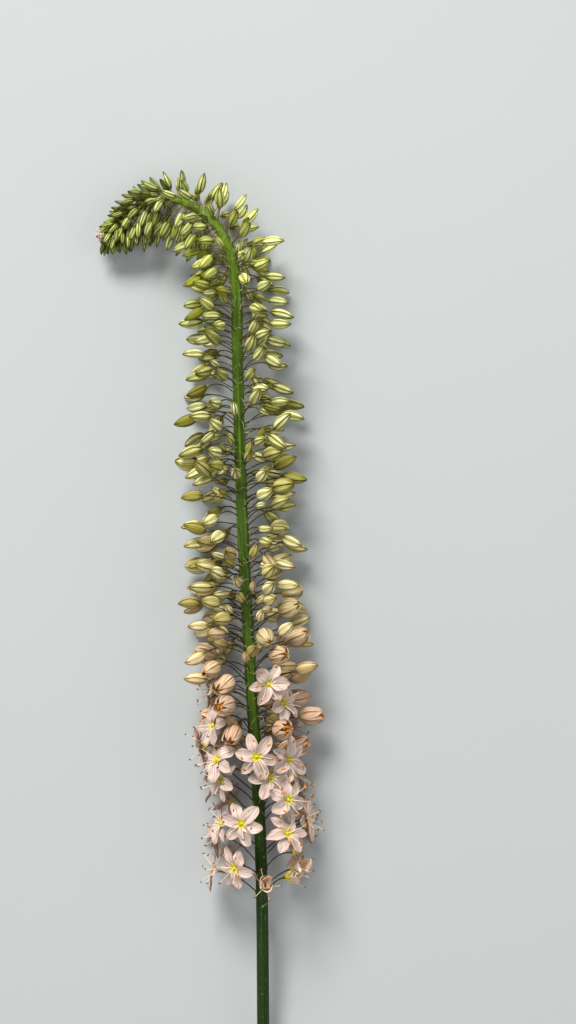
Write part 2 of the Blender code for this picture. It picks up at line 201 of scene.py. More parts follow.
# %% [markdown]
# ## Where a tepal lies
#
# Tepal is the word for a petal where petals and sepals look alike, as on this plant. Each flower
# has six. The plan has to know where they lie before they are made, because open flowers take most
# of the room. Their exact meshes could be tested against each other, but hundreds of such tests are
# slow, so a tepal is a straight line here, whose foot bends outwards from the flower's axis.
#
# Flowers near the surface can't open fully. There each tepal is closed step by step until it clears
# the surface.

# %% Places on a tepal
TEPALS = 6
TEPAL_WIDTH = 0.0088
TEPAL_CURVE = 0.35
CURVE_END = 0.625
NEIGHBOUR_ROOM = 0.9


def tepal_way(flower, k, share):
    """Direction from a flower's neck to tepal k at a share of its length, and the way its face looks."""
    first, second = across(flower["face"])
    turn = flower["twist"] + k * math.tau / TEPALS
    radial = math.cos(turn) * first + math.sin(turn) * second
    spreads = flower["spread"]
    spread = math.radians((spreads[math.floor(k) % TEPALS] + spreads[math.ceil(k) % TEPALS]) / 2)
    bow = spread * (TEPAL_CURVE + (1 - TEPAL_CURVE) * min(1.0, share / CURVE_END))
    way = math.cos(bow) * flower["face"] + math.sin(bow) * radial
    return way, math.sin(bow) * flower["face"] - math.cos(bow) * radial


def tepal_point(flower, k, share, sideways=0.0):
    """A point on tepal k, at a share of its length and so far to one side of its middle."""
    way, inward = tepal_way(flower, k, share)
    return flower["neck"] + way * share * flower["tepal"] + np.cross(way, inward) * sideways


def half_width(flower, k, share):
    """Half of a tepal's width, no more than the room between its neighbours."""
    way, _ = tepal_way(flower, k, share)
    from_axis = math.sqrt(max(0.0, 1 - (way @ flower["face"]) ** 2)) * share * flower["tepal"]
    return min(TEPAL_WIDTH / 2, NEIGHBOUR_ROOM * from_axis * math.tan(math.pi / TEPALS))


print("neighbouring tepals stand", 360 / TEPALS, "degrees apart")

# %% Opening a flower
OPEN_SPREAD = 80.0
LEAST_SPREAD = 12.0
SPREAD_STEP = 6.0
TEPAL_FLOOR = 0.0035
TEPAL_FLOOR_SHARES = (0.6, 1.0)


def press_open(flower):
    """Set how far each tepal spreads from the flower's axis: less where the surface is in the way."""
    flower["spread"] = [OPEN_SPREAD * flower["openness"]] * TEPALS
    for k in range(TEPALS):
        while flower["spread"][k] > LEAST_SPREAD:
            if min(tepal_point(flower, k, share)[2] for share in TEPAL_FLOOR_SHARES) > TEPAL_FLOOR:
                break
            flower["spread"][k] -= SPREAD_STEP


print("an open tepal spreads by", OPEN_SPREAD, "degrees, and one that is in the way by less")

# %% [markdown]
# ## Growing the florets
#
# Each floret leaves the stalk a golden angle, 137.5 degrees, further round than the one below it,
# which is how the real plant keeps its florets out of each other's way. Age runs along the stalk,
# so lengths, leans and chances are profiles too.
#
# Copies could be scattered by a modifier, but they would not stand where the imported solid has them.
# So this is the same plan that the solid was grown from, with the same seed, and each floret grows
# where its solid does. Spheres stand for its room. One that would cross another floret, the stalk or
# the surface is drawn again, further from its natural place each time.

# %% Room for a floret
FLOWERING = ("open", "spent")
COVER_STEP = 0.0022
PEDICEL_COVER = 0.0011
TEPAL_COVER = (
    (0.25, 0.7, 0.0014),
    (0.45, 0.7, 0.0016),
    (0.62, 0.7, 0.0017),
    (0.80, 0.4, 0.0016),
    (0.97, 0.0, 0.0009),
)
THROAT_REACH = 0.003
THROAT_COVER = 0.0024
BUD_COVER = ((0.12, 0.55), (0.30, 0.95), (0.48, 1.0), (0.66, 0.9), (0.84, 0.55), (0.97, 0.2))


def balls_of(floret):
    """Spheres that cover a floret, for keeping it clear of the others and of the surface."""
    legs = [floret["root"], floret["bend"], floret["neck"]]
    balls = []
    for start, end in zip(legs, legs[1:]):
        steps = max(2, int(np.linalg.norm(end - start) / COVER_STEP))
        balls += [(start + (end - start) * s / steps, PEDICEL_COVER) for s in range(1, steps + 1)]
    neck, face = floret["neck"], floret["face"]
    if floret["stage"] in FLOWERING:
        for k in range(TEPALS):
            for share, reach, size in TEPAL_COVER:
                edge = half_width(floret, k, share) * reach
                balls += [(tepal_point(floret, k, share, s * edge), size) for s in (-1, 0, 1)]
        balls.append((neck + face * THROAT_REACH, THROAT_COVER))
    else:
        for share, size in BUD_COVER:
            balls.append((neck + face * floret["length"] * share, floret["radius"] * size))
    centres, sizes = zip(*balls)
    return np.array(centres), np.array(sizes)


print("a flower's tepals and throat take", 3 * TEPALS * len(TEPAL_COVER) + 1, "spheres")
print("a bud takes", len(BUD_COVER), "spheres")

# %% Profiles of a floret
PEDICEL_LENGTH = [
    (0.30, 0.040),
    (0.45, 0.036),
    (0.60, 0.034),
    (0.80, 0.029),
    (0.87, 0.022),
    (0.92, 0.0155),
    (0.96, 0.0120),
    (0.99, 0.0070),
]
PEDICEL_LEAN = [
    (0.30, 42.0),
    (0.45, 48.0),
    (0.60, 54.0),
    (0.88, 58.0),
    (0.93, 54.0),
    (0.97, 46.0),
    (0.99, 25.0),
]
INNER_SIDE_LENGTH = [(0.86, 0.0), (0.92, 0.75), (0.98, 0.85)]
PARTING = [(0.90, 0.32), (0.93, 0.0)]
BUD_LENGTH = [
    (0.45, 0.0190),
    (0.80, 0.0175),
    (0.88, 0.0160),
    (0.93, 0.0130),
    (0.97, 0.0105),
    (0.99, 0.0085),
]
BUD_SLIMNESS = [(0.45, 0.285), (0.80, 0.285), (0.93, 0.25), (0.99, 0.24)]
BUD_LEAN = [(0.45, 80.0), (0.85, 78.0), (0.91, 70.0), (0.94, 58.0), (0.97, 48.0), (0.99, 25.0)]
BUD_HANG = [(0.36, 0.0), (0.48, 0.8), (0.84, 1.0), (0.92, 1.7), (0.97, 1.5), (0.99, 0.9)]
for at in (0.35, 0.65, 0.95):
    length, lean = 1000 * profile(PEDICEL_LENGTH, at), profile(PEDICEL_LEAN, at)
    print(f"{at} m up, a pedicel is {length:.1f} mm long and leans by {lean:.0f} degrees")

# %% One floret
PARTED = 0.45
TURN_STRAY = 0.10
TURN_STRAY_WITHOUT_ROOM = 0.50
SIDE_TURN = 1.1
SIDE_LEAN = 0.5
LEVELLING = 1.6
LEAN_STRAY = 10.0
NOD_STRAY = 14.0
HANG_ON_EVERY_SIDE = 0.5
HANG_RANGE = (0.4, 1.6)
PEDICEL_RANGE = (0.74, 1.10)
BEND_SHARE = 0.55
BUD_RANGE = (0.92, 1.08)
OPENNESS_RANGE = (0.86, 1.14)
TEPAL_LENGTH = 0.0192
TEPAL_RANGE = (0.94, 1.06)
SWOLLEN = 0.41
SWOLLEN_STRAY = 0.5
SPENT_SPREAD = 0.42


def grow_floret(at, turn, stage, loose, rng):
    """One floret. Loose, from 0 to 1, is how far it may bend from its natural place."""
    centre, along, up, side = stalk_frame(at)
    azimuth = math.remainder(turn, math.tau)
    azimuth += math.copysign(profile(PARTING, at) * math.exp(-(azimuth / PARTED) ** 2), azimuth)
    azimuth += rng.gauss(0, TURN_STRAY + TURN_STRAY_WITHOUT_ROOM * loose)
    flat = loose * max(0.0, -math.cos(azimuth))
    azimuth -= math.copysign(SIDE_TURN * flat, math.sin(azimuth))
    out = math.cos(azimuth) * up + math.sin(azimuth) * side
    inner = out @ DOWN_THE_STALK
    lean = math.radians(profile(PEDICEL_LEAN, at) * (1 - SIDE_LEAN * flat) + rng.gauss(0, LEAN_STRAY))
    nod = math.radians(profile(BUD_LEAN, at) + rng.gauss(0, NOD_STRAY))
    leave = math.cos(lean) * along + math.sin(lean) * out
    hang = profile(BUD_HANG, at) * (HANG_ON_EVERY_SIDE + inner) * rng.uniform(*HANG_RANGE)
    face = math.cos(nod) * along + math.sin(nod) * out + max(0.0, hang) * DOWN_THE_STALK
    face = unit(face)
    if face[2] < 0:
        face = unit(face * [1, 1, 1 - min(1.0, LEVELLING * flat)])
    length = profile(PEDICEL_LENGTH, at) * (1 + profile(INNER_SIDE_LENGTH, at) * inner)
    length *= rng.uniform(*PEDICEL_RANGE)
    root = centre + out * profile(STALK_RADIUS, at)
    bud = profile(BUD_LENGTH, at) * rng.uniform(*BUD_RANGE)
    floret = {
        "at": at,
        "stage": stage,
        "out": out,
        "root": root,
        "leave": leave,
        "stretch": length,
        "bend": bent(root, leave, face, length, BEND_SHARE),
        "neck": bent(root, leave, face, length, 1.0),
        "face": face,
        "length": bud,
        "radius": bud * profile(BUD_SLIMNESS, at) * rng.uniform(*BUD_RANGE),
        "twist": rng.uniform(0, math.tau),
        "openness": rng.uniform(*OPENNESS_RANGE),
        "tepal": TEPAL_LENGTH * rng.uniform(*TEPAL_RANGE),
    }
    if stage == "opening":
        floret["radius"] = bud * (SWOLLEN + (floret["openness"] - 1) * SWOLLEN_STRAY)
    if stage == "spent":
        floret["openness"] *= SPENT_SPREAD
    if stage in FLOWERING:
        press_open(floret)
    return floret


print(f"a tepal is {1000 * TEPAL_LENGTH:.1f} mm long")
print(f"a swollen bud is {2 * SWOLLEN:.2f} times as wide as it is long")

# %% Ages along the stalk
SPENT_BELOW = 0.318
SPENT_SHARE = 0.5
OPEN_CHANCE = [(0.37, 1.0), (0.44, 0.45), (0.48, 0.0)]
OPENING_CHANCE = [(0.37, 0.0), (0.44, 0.5), (0.52, 0.45), (0.62, 0.08), (0.72, 0.0)]


def draw_stage(at, rng):
    """Whether a floret at this height is spent, open, opening or still a bud."""
    draw = rng.random()
    if at < SPENT_BELOW:
        return "spent" if draw < SPENT_SHARE else "open"
    if draw < profile(OPEN_CHANCE, at):
        return "open"
    return "opening" if draw < profile(OPEN_CHANCE, at) + profile(OPENING_CHANCE, at) else "bud"


for at in (0.35, 0.45, 0.55):
    chances = profile(OPEN_CHANCE, at), profile(OPENING_CHANCE, at)
    print(f"{at} m up, {chances[0]:.0%} of the florets are open and {chances[1]:.0%} are opening")

# %% Sharing out the room
STALK_COVER_START = 0.2
STALK_COVER_STEP = 0.004


def cover_stalk():
    """Spheres along the stalk, as far as florets can reach it."""
    places = np.arange(STALK_COVER_START, STALK_LENGTH, STALK_COVER_STEP)
    centres = np.array([stalk_centre(at) for at in places])
    return centres, np.array([profile(STALK_RADIUS, at) for at in places])


def has_room(cover, others, share, clearance=0.0):
    """Whether none of a floret's spheres crosses another sphere, at a share of their sizes."""
    centres, radii = cover
    taken, taken_radii = others
    gaps = np.linalg.norm(centres[:, None] - taken[None], axis=2)
    return not (gaps < share * (radii[:, None] + taken_radii[None] + clearance)).any()


print("the stalk takes", len(cover_stalk()[0]), "spheres")

# %% The whole spike
import random

SEED = 11
GOLDEN_ANGLE = math.radians(137.508)
RACEME_START = 0.301
RACEME_END = 0.990
FLORET_GAP = [
    (0.30, 0.0054),
    (0.42, 0.0040),
    (0.50, 0.0024),
    (0.82, 0.0021),
    (0.90, 0.0014),
    (0.94, 0.00075),
    (1.0, 0.00050),
]
ROOM = [(0.88, 1.0), (0.93, 0.72), (0.99, 0.5)]
ATTEMPTS = 50
CLEARANCE = 0.0004
FLOWER_FLOOR = 0.0004
BUD_FLOOR = -0.0020
NEIGHBOURHOOD = 0.085
IN_THE_STALK = 2


def grow_florets():
    """Every floret, from the lowest flower to the tip. One that finds no room is left out."""
    rng = random.Random(SEED)
    stalk = cover_stalk()
    florets, covers = [], []
    at, turn = RACEME_START, 0.0
    while at < RACEME_END:
        stage = draw_stage(at, rng)
        floor = FLOWER_FLOOR if stage in FLOWERING else BUD_FLOOR
        room = profile(ROOM, at)
        for attempt in range(ATTEMPTS):
            floret = grow_floret(at, turn, stage, attempt / ATTEMPTS, rng)
            centres, radii = balls_of(floret)
            if (centres[:, 2] - radii).min() < floor:
                continue
            if not has_room((centres[IN_THE_STALK:], radii[IN_THE_STALK:]), stalk, room):
                continue
            near = [
                cover
                for other, cover in zip(florets, covers)
                if np.linalg.norm(other["neck"] - floret["neck"]) < NEIGHBOURHOOD
            ]
            if near:
                others = [np.concatenate(parts) for parts in zip(*near)]
                if not has_room((centres, radii), others, room, CLEARANCE):
                    continue
            florets.append(floret)
            covers.append((centres, radii))
            break
        at += profile(FLORET_GAP, at)
        turn += GOLDEN_ANGLE
    return florets


florets = grow_florets()
print(len(florets), "florets found room")

# %% [markdown]
# ## Late buds
#
# Some florets stay behind: small buds on short pedicels, close to the stalk, which fill the space
# between the long ones. They could be put in by eye, but a hundred of them would soon cross each
# other. So they grow by the same rule as the others, and a late bud that would cross anything is
# left out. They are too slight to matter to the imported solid, so they stand only here.

# %% Late buds
LATE_TRIES = 420
LATE_MOST = 140
LATE_FROM, LATE_TO = 0.40, 0.90
LATE_LOOSENESS = 0.3
LATE_PEDICEL = (0.30, 0.72)
LATE_BUD = (0.62, 0.86)
LATE_ROOM = 0.86


def grow_late_florets(grown):
    """Small buds on short pedicels, wherever they find room between the florets."""
    rng = random.Random(SEED + 1)
    taken = [cover_stalk()] + [balls_of(floret) for floret in grown]
    late = []
    for _ in range(LATE_TRIES):
        if len(late) == LATE_MOST:
            break
        at, turn = rng.uniform(LATE_FROM, LATE_TO), rng.uniform(0, math.tau)
        floret = grow_floret(at, turn, "bud", LATE_LOOSENESS, rng)
        floret["stretch"] *= rng.uniform(*LATE_PEDICEL)
        way_in = (floret["root"], floret["leave"], floret["face"], floret["stretch"])
        floret["bend"], floret["neck"] = bent(*way_in, BEND_SHARE), bent(*way_in, 1.0)
        small = rng.uniform(*LATE_BUD)
        floret["length"] *= small
        floret["radius"] *= small
        centres, radii = balls_of(floret)
        if (centres[:, 2] - radii).min() < 0:
            continue
        others = [np.concatenate(parts) for parts in zip(*taken)]
        if not has_room((centres[IN_THE_STALK:], radii[IN_THE_STALK:]), others, LATE_ROOM):
            continue
        late.append(floret)
        taken.append((centres, radii))
    return late


late_florets = grow_late_florets(florets)
print(len(late_florets), "late buds found room")

# %% Florets by age
PARTING_FROM, PARTING_TO = 0.58, 0.44
swollen = [f for f in florets if f["stage"] == "opening" and f["at"] > PARTING_FROM]
closed = [f for f in florets if f["stage"] == "bud"] + swollen
opening = [f for f in florets if f["stage"] == "opening" and f["at"] <= PARTING_FROM]
flowers = [f for f in florets if f["stage"] == "open"]
withered = [f for f in florets if f["stage"] == "spent"]
print(len(closed), "closed buds,", len(opening), "that are opening")
print(len(flowers), "open flowers,", len(withered), "withered ones")

# %% [markdown]
# ## One form for everything
#
# Almost every part of a plant is a tube with two pointed ends: a bud is a fat one, a stalk a long
# one, and a tepal one that is pressed flat. So one class gathers copies of such a tube, all with
# the same rings and columns, and makes them one piece. Hundreds of separate objects would be slow
# to handle, and a modifier could not give each copy its own bend.
#
# Each piece gets two maps. On the first, every copy covers the whole square, so a material can
# draw the same ribs on all of them. On the second, every copy has a cell of its own, so that the
# finished colours can be painted onto the model. Marks are numbers that a material can read, such
# as how far up the stalk the copy grows.

# %% Rings of a tube


def even_ends(count):
    """Shares of a length for so many rings, closer together towards both ends."""
    return (1 - np.cos(np.linspace(0, math.pi, count + 2)[1:-1])) / 2


def round_rings(middles, ways, radii, columns, reference):
    """Rings round a line. A reference that is square to the whole line keeps them from twisting."""
    ways = ways / np.linalg.norm(ways, axis=1, keepdims=True)
    first = reference - (ways @ reference)[:, None] * ways
    first /= np.linalg.norm(first, axis=1, keepdims=True)
    second = np.cross(ways, first)
    turns = np.arange(columns) * math.tau / columns
    spokes = np.cos(turns)[None, :, None] * first[:, None]
    spokes = spokes + np.sin(turns)[None, :, None] * second[:, None]
    return middles[:, None] + np.reshape(radii, (len(middles), -1, 1)) * spokes


print("five rings stand at these shares of a tube's length:", even_ends(5).round(2))

# %% Faces of a tube


def tube_faces(shares, columns):
    """The faces of a closed tube, by number of point, and where their corners lie on its map."""
    last = 1 + len(shares) * columns
    faces, corners = [], []
    for c in range(columns):
        left, right, middle = c / columns, (c + 1) / columns, (c + 0.5) / columns
        beyond = (c + 1) % columns
        faces.append((0, 1 + beyond, 1 + c))
        corners += [(middle, 0.0), (right, shares[0]), (left, shares[0])]
        for r in range(len(shares) - 1):
            low, high = 1 + r * columns, 1 + (r + 1) * columns
            faces.append((low + c, low + beyond, high + beyond, high + c))
            corners += [(left, shares[r]), (right, shares[r])]
            corners += [(right, shares[r + 1]), (left, shares[r + 1])]
        faces.append((last - columns + c, last - columns + beyond, last))
        corners += [(left, shares[-1]), (right, shares[-1]), (middle, 1.0)]
    return faces, np.array(corners)


print("a tube of 3 rings and 6 columns has", len(tube_faces(even_ends(3), 6)[0]), "faces")

# %% Copies of one tube, gathered into a piece
SHARP_ANGLE = math.radians(50)
CELL_MARGIN = 0.03
PATTERN_MAP = "pattern"
PAINT_MAP = "OFBake"
SURFACE_TOUCH = 0.0001


class Bed:
    """Copies of one closed tube with a point at each end, gathered to become one piece.

    Slimness is how many times longer than wide a copy's cell is on the second map.
    """

    def __init__(self, shares, columns, slimness=1.0):
        self.shares = np.array(shares)
        self.columns = columns
        self.slimness = slimness
        self.copies = []
        self.marks = {}

    def add(self, start, rings, end, **marks):
        """One more copy: its first point, its rings of points, and its last point."""
        points = np.vstack([start, np.reshape(rings, (-1, 3)), end])
        points[:, 2] = np.maximum(points[:, 2], SURFACE_TOUCH)
        self.copies.append(points)
        for name, value in marks.items():
            self.marks.setdefault(name, []).append(np.broadcast_to(value, len(points)))

    def make(self, name, finish, replaced):
        """Makes the piece, with its maps and marks, and has it ride on the part's one body."""
        faces, corners = tube_faces(self.shares, self.columns)
        count, size = len(self.copies), len(self.copies[0])
        every_face = [[k * size + i for i in face] for k in range(count) for face in faces]
        mesh = bpy.data.meshes.new(name)
        mesh.from_pydata(np.concatenate(self.copies), [], every_face)
        cells_across = max(1, round(math.sqrt(count * self.slimness)))
        cells_up = math.ceil(count / cells_across)
        cells = np.array([(k % cells_across, k // cells_across) for k in range(count)])
        inside = CELL_MARGIN + corners * (1 - 2 * CELL_MARGIN)
        painted = (cells[:, None] + inside[None]) / (cells_across, cells_up)
        for map_name, places in ((PATTERN_MAP, np.tile(corners, (count, 1))), (PAINT_MAP, painted)):
            layer = mesh.uv_layers.new(name=map_name)
            layer.uv.foreach_set("vector", places.astype(np.float32).ravel())
        for mark, values in self.marks.items():
            layer = mesh.attributes.new(mark, "FLOAT", "POINT")
            layer.data.foreach_set("value", np.concatenate(values).astype(np.float32))
        mesh.materials.append(finish)
        mesh.shade_smooth()
        mesh.set_sharp_from_angle(angle=SHARP_ANGLE)
        piece = bpy.data.objects.new(name, mesh)
        bpy.context.scene.collection.objects.link(piece)
        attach(piece, "root")
        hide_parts(*replaced)
        print(name, "is", count, "copies and", sum(len(f) - 2 for f in every_face), "triangles")


print("maps of a piece:", PATTERN_MAP, "for its ribs and veins,", PAINT_MAP, "for its finished colours")

# %% [markdown]
# ## Mixing finishes
#
# A plant has no flat colour anywhere. Its colours are sums of simple masks: ribs, veins, distance
# from the base, age. Written with Blender's nodes one by one such sums are hard to read, so one
# class wraps a socket and lets Python's own signs add the Math nodes.

# %% Sums of sockets


class Socket:
    """One output of a shader node. A sum or product with it adds a Math node to its tree."""

    def __init__(self, tree, output):
        self.tree = tree
        self.output = output

    def maths(self, operation, *values):
        """One Math node, with a link or a plain number for each of its values."""
        node = self.tree.nodes.new("ShaderNodeMath")
        node.operation = operation
        for place, value in zip(node.inputs, values):
            if isinstance(value, Socket):
                self.tree.links.new(value.output, place)
            else:
                place.default_value = value
        return Socket(self.tree, node.outputs[0])

    def __add__(self, other):
        return self.maths("ADD", self, other)

    def __radd__(self, other):
        return self.maths("ADD", other, self)

    def __sub__(self, other):
        return self.maths("SUBTRACT", self, other)

    def __rsub__(self, other):
        return self.maths("SUBTRACT", other, self)

    def __mul__(self, other):
        return self.maths("MULTIPLY", self, other)

    def __rmul__(self, other):
        return self.maths("MULTIPLY", other, self)

    def __truediv__(self, other):
        return self.maths("DIVIDE", self, other)

    def folded(self, width):
        """The value folded back and forth, so that it runs from 0 to the width and back to 0."""
        return self.maths("PINGPONG", self, width)

    def __abs__(self):
        return self.maths("ABSOLUTE", self)


print("signs that add a Math node: +, -, *, / and abs")

# %% [markdown]
# ## One node at a time
#
# Every other node comes from a single method, which takes the node's type, its settings and what
# goes into its sockets. The masks and mixes that come back in many finishes could be node groups.
# Here they are short methods with plain names, because those can be read from top to bottom.
#
# A colour is picked as on a paint chart, from 0 to 255. Blender mixes light, so the chart's numbers
# are turned into amounts of light first.

# %% Colours


def paint(red, green, blue):
    """A colour from a paint chart, 0 to 255, in the linear numbers that Blender mixes."""
    parts = [value / 255 for value in (red, green, blue)]
    linear = [p / 12.92 if p <= 0.04045 else ((p + 0.055) / 1.055) ** 2.4 for p in parts]
    return (*linear, 1.0)


print("a middle grey of the chart is", round(paint(128, 128, 128)[0], 2), "in the mix")

# %% Nodes of a material


class Nodes:
    """A material on one shader, whose nodes are added one at a time."""

    def __init__(self, name, **constants):
        self.material = bpy.data.materials.new(name)
        self.material.use_nodes = True
        self.tree = self.material.node_tree
        self.shader = self.tree.nodes["Principled BSDF"]
        for socket, value in constants.items():
            self.shader.inputs[socket.replace("_", " ")].default_value = value

    def node(self, kind, settings, inputs, output=0):
        """A node of any type: its settings first, then values or links for its sockets."""
        node = self.tree.nodes.new(kind)
        for name, value in settings.items():
            if name == "stops":
                self.set_stops(node.color_ramp, value)
            else:
                setattr(node, name, value)
        for name, value in inputs.items():
            if isinstance(value, Socket):
                self.tree.links.new(value.output, node.inputs[name])
            else:
                node.inputs[name].default_value = value
        return Socket(self.tree, node.outputs[output])

    def set_stops(self, ramp, stops):
        """Colours along a ramp, which has two stops of its own to start with."""
        for place, _ in stops[2:]:
            ramp.elements.new(place)
        for element, (place, colour) in zip(ramp.elements, stops):
            element.position = place
            element.color = colour


edges = bpy.types.ShaderNodeMapRange.bl_rna.properties["interpolation_type"].enum_items
print("settings of a Map Range node's edge:", ", ".join(edges.keys()))

# %% Masks and mixes


class Finish(Nodes):
    """A material with the masks and mixes that the skin of a plant is made of."""

    def mark(self, name):
        """A number that a copy carries, such as how far up the stalk it grows."""
        return self.node("ShaderNodeAttribute", {"attribute_name": name}, {}, output="Fac")

    def map_places(self):
        """How far round and how far along its copy a point lies, each from 0 to 1."""
        places = self.node("ShaderNodeUVMap", {"uv_map": PATTERN_MAP}, {})
        turn = self.node("ShaderNodeSeparateXYZ", {}, {"Vector": places}, output="X")
        along = Socket(self.tree, turn.output.node.outputs["Y"])
        return turn, along

    def step(self, value, low, high):
        """0 below the low value and 1 above the high one, with a soft edge between them."""
        settings = {"interpolation_type": "SMOOTHSTEP"}
        inputs = {"Value": value, "From Min": low, "From Max": high}
        return self.node("ShaderNodeMapRange", settings, inputs)

    def grain(self, scale, stretch=(1.0, 1.0, 1.0), detail=3.0, places=None):
        """Noise from 0 to 1, by place in space or by the given places."""
        if places is None:
            places = self.node("ShaderNodeTexCoord", {}, {}, output="Object")
        spread = self.node("ShaderNodeVectorMath", {"operation": "MULTIPLY"}, {0: places, 1: stretch})
        return self.node("ShaderNodeTexNoise", {}, {"Vector": spread, "Scale": scale, "Detail": detail})

    def places(self, x, y):
        """Places for the noise to look at, from two numbers."""
        return self.node("ShaderNodeCombineXYZ", {}, {"X": x, "Y": y})

    def blend(self, first, second, share):
        """One colour over another, by a share from 0 to 1. A Mix node knows its colours by number."""
        inputs = {0: share, 6: first, 7: second}
        return self.node("ShaderNodeMix", {"data_type": "RGBA"}, inputs, output=2)

    def by_height(self, stops):
        """A colour that changes with the place along the stalk, in metres."""
        shares = [(at / STALK_LENGTH, colour) for at, colour in stops]
        return self.node("ShaderNodeValToRGB", {"stops": shares}, {"Fac": self.mark("height")})

    def lit(self, colour, brightness):
        """The colour so many times as bright."""
        return self.node("ShaderNodeHueSaturation", {}, {"Color": colour, "Value": brightness})

    def raised(self, height, depth):
        """Small relief, so many metres deep."""
        inputs = {"Height": height, "Distance": depth, "Strength": 1.0}
        bump = self.node("ShaderNodeBump", {}, inputs)
        self.tree.links.new(bump.output, self.shader.inputs["Normal"])

    def use(self, colour, roughness=None):
        """The finished material, with its colour and, where it varies, its roughness."""
        self.tree.links.new(colour.output, self.shader.inputs["Base Color"])
        if roughness is not None:
            self.tree.links.new(roughness.output, self.shader.inputs["Roughness"])
        return self.material


methods = [name for name in dir(Finish) if not name.startswith("_")]
print("finishes are mixed from", ", ".join(methods))

# %% [markdown]
# ## The stalk
#
# A fresh stalk is a smooth, slightly waxy rod, deep green below and yellow-green where it bends
# over. Under each floret it swells into a small cushion. A curve with a round profile would make
# the rod, but not the cushions, which change its outline. So the stalk is rings of points, and those
# near a floret's root are pushed out. The streaks and flecks are only colour and relief: noise that
# is stretched along the stalk. The cut end shows pale, watery flesh.

# %% Colours of the stalk
STALK_COLOURS = [
    (0.00, paint(24, 46, 2)),
    (0.34, paint(21, 44, 1)),
    (0.50, paint(50, 72, 10)),
    (0.66, paint(57, 81, 12)),
    (0.82, paint(62, 86, 10)),
    (0.90, paint(88, 112, 14)),
    (0.97, paint(84, 96, 12)),
]
FLECK_COLOUR = paint(140, 160, 84)
CUSHION_COLOUR = paint(122, 132, 42)
FLESH = paint(196, 204, 140)
PITH = paint(150, 168, 92)
FLESH_RIM = paint(104, 132, 52)
print("from its foot to its tip, the stalk takes", len(STALK_COLOURS), "greens")

# %% Stalk finish
# The edge of a mask is the pair of values between which it comes in. Where the pair runs from high
# to low, it comes in as the value falls. A share is how much of a layer shows where its mask is 1.
STREAKS_ROUND, STREAKS_ALONG = 34.0, 9.0
FIBRES_ROUND, FIBRES_ALONG = 120.0, 30.0
PATCH_SCALE, FLECK_SCALE, PITH_SCALE = 14.0, 900.0, 1600.0
PATCH_STRETCH, FLECK_STRETCH = (1.0, 0.35, 1.0), (1.0, 0.45, 1.0)
BLOOM_AND_HIGHLIGHT_STREAK, TONE_AND_SHADE_STREAK = 1.95, 0.55
BLOOM_AND_HIGHLIGHT_EDGE, TONE_AND_SHADE_EDGE = (0.50, 0.68), (0.50, 0.70)
STALK_LIGHT, PATCH_LIGHT = 0.86, 0.30
FLECK_EDGE, FLECK_SHARE = (0.66, 0.74), 0.30
CUSHION_EDGE, CUSHION_SHARE = (0.20, 0.9), 0.65
PITH_EDGE, FLESH_RIM_EDGE, FLESH_EDGE = (0.45, 0.7), (0.62, 0.50), (0.2, 0.4)
STREAK_RISE, FIBRE_RISE = 0.6, 0.4
STREAK_DEPTH = 0.00035
STALK_ROUGHNESS, PATCH_ROUGHNESS = 0.34, 0.16


def stalk_finish():
    """Green skin with pale streaks of waxy bloom and painted highlight, darker streaks of tone and
    painted shade, pale flecks, yellowish cushions and a pale cut face.
    """
    finish = Finish("stalk_skin", Roughness=0.40, Specular_IOR_Level=0.18)
    turn, _ = finish.map_places()
    height = finish.mark("height")
    streak_places = finish.places(turn * STREAKS_ROUND, height * STREAKS_ALONG)
    streak = finish.grain(1.0, detail=2.0, places=streak_places)
    fibre_places = finish.places(turn * FIBRES_ROUND, height * FIBRES_ALONG)
    fibre = finish.grain(1.0, detail=2.0, places=fibre_places)
    colour = finish.by_height(STALK_COLOURS)
    # The pale streaks are waxy bloom with painted highlight in them, and the dark streaks are tone with
    # painted shade.
    bloom_and_highlight_streaks = finish.step(streak, *BLOOM_AND_HIGHLIGHT_EDGE)
    colour = finish.blend(colour, finish.lit(colour, BLOOM_AND_HIGHLIGHT_STREAK), bloom_and_highlight_streaks)
    tone_and_shade_streaks = finish.step(1 - streak, *TONE_AND_SHADE_EDGE)
    colour = finish.blend(colour, finish.lit(colour, TONE_AND_SHADE_STREAK), tone_and_shade_streaks)
    patches = finish.grain(PATCH_SCALE, PATCH_STRETCH, detail=4.0)
    colour = finish.lit(colour, STALK_LIGHT + PATCH_LIGHT * patches)
    flecks = finish.grain(FLECK_SCALE, FLECK_STRETCH, detail=1.0)
    colour = finish.blend(colour, FLECK_COLOUR, FLECK_SHARE * finish.step(flecks, *FLECK_EDGE))
    cushion = finish.mark("cushion")
    colour = finish.blend(colour, CUSHION_COLOUR, CUSHION_SHARE * finish.step(cushion, *CUSHION_EDGE))
    flesh = finish.mark("flesh")
    pith = finish.grain(PITH_SCALE, detail=2.0)
    inside = finish.blend(FLESH, PITH, finish.step(pith, *PITH_EDGE))
    inside = finish.blend(inside, FLESH_RIM, finish.step(flesh, *FLESH_RIM_EDGE))
    colour = finish.blend(colour, inside, finish.step(flesh, *FLESH_EDGE))
    finish.raised(streak * STREAK_RISE + fibre * FIBRE_RISE, STREAK_DEPTH)
    return finish.use(colour, STALK_ROUGHNESS + PATCH_ROUGHNESS * patches)


STALK_SKIN = stalk_finish()
print("the stalk's skin takes", len(STALK_SKIN.node_tree.nodes), "nodes")

# %% Stalk
STALK_COLUMNS = 32
BARE_RING_GAP = 0.004
FLOWERING_RING_GAP = 0.0010
CUSHION_HEIGHT = 0.00055
CUSHION_REACH = 0.0013
CUT_FACE = ((0.35, 1.0), (0.72, 0.8), (0.90, 0.58), (0.985, 0.45))
RIBS = 5
RIB_HEIGHT = 0.012
RIB_TWIST = 9.0


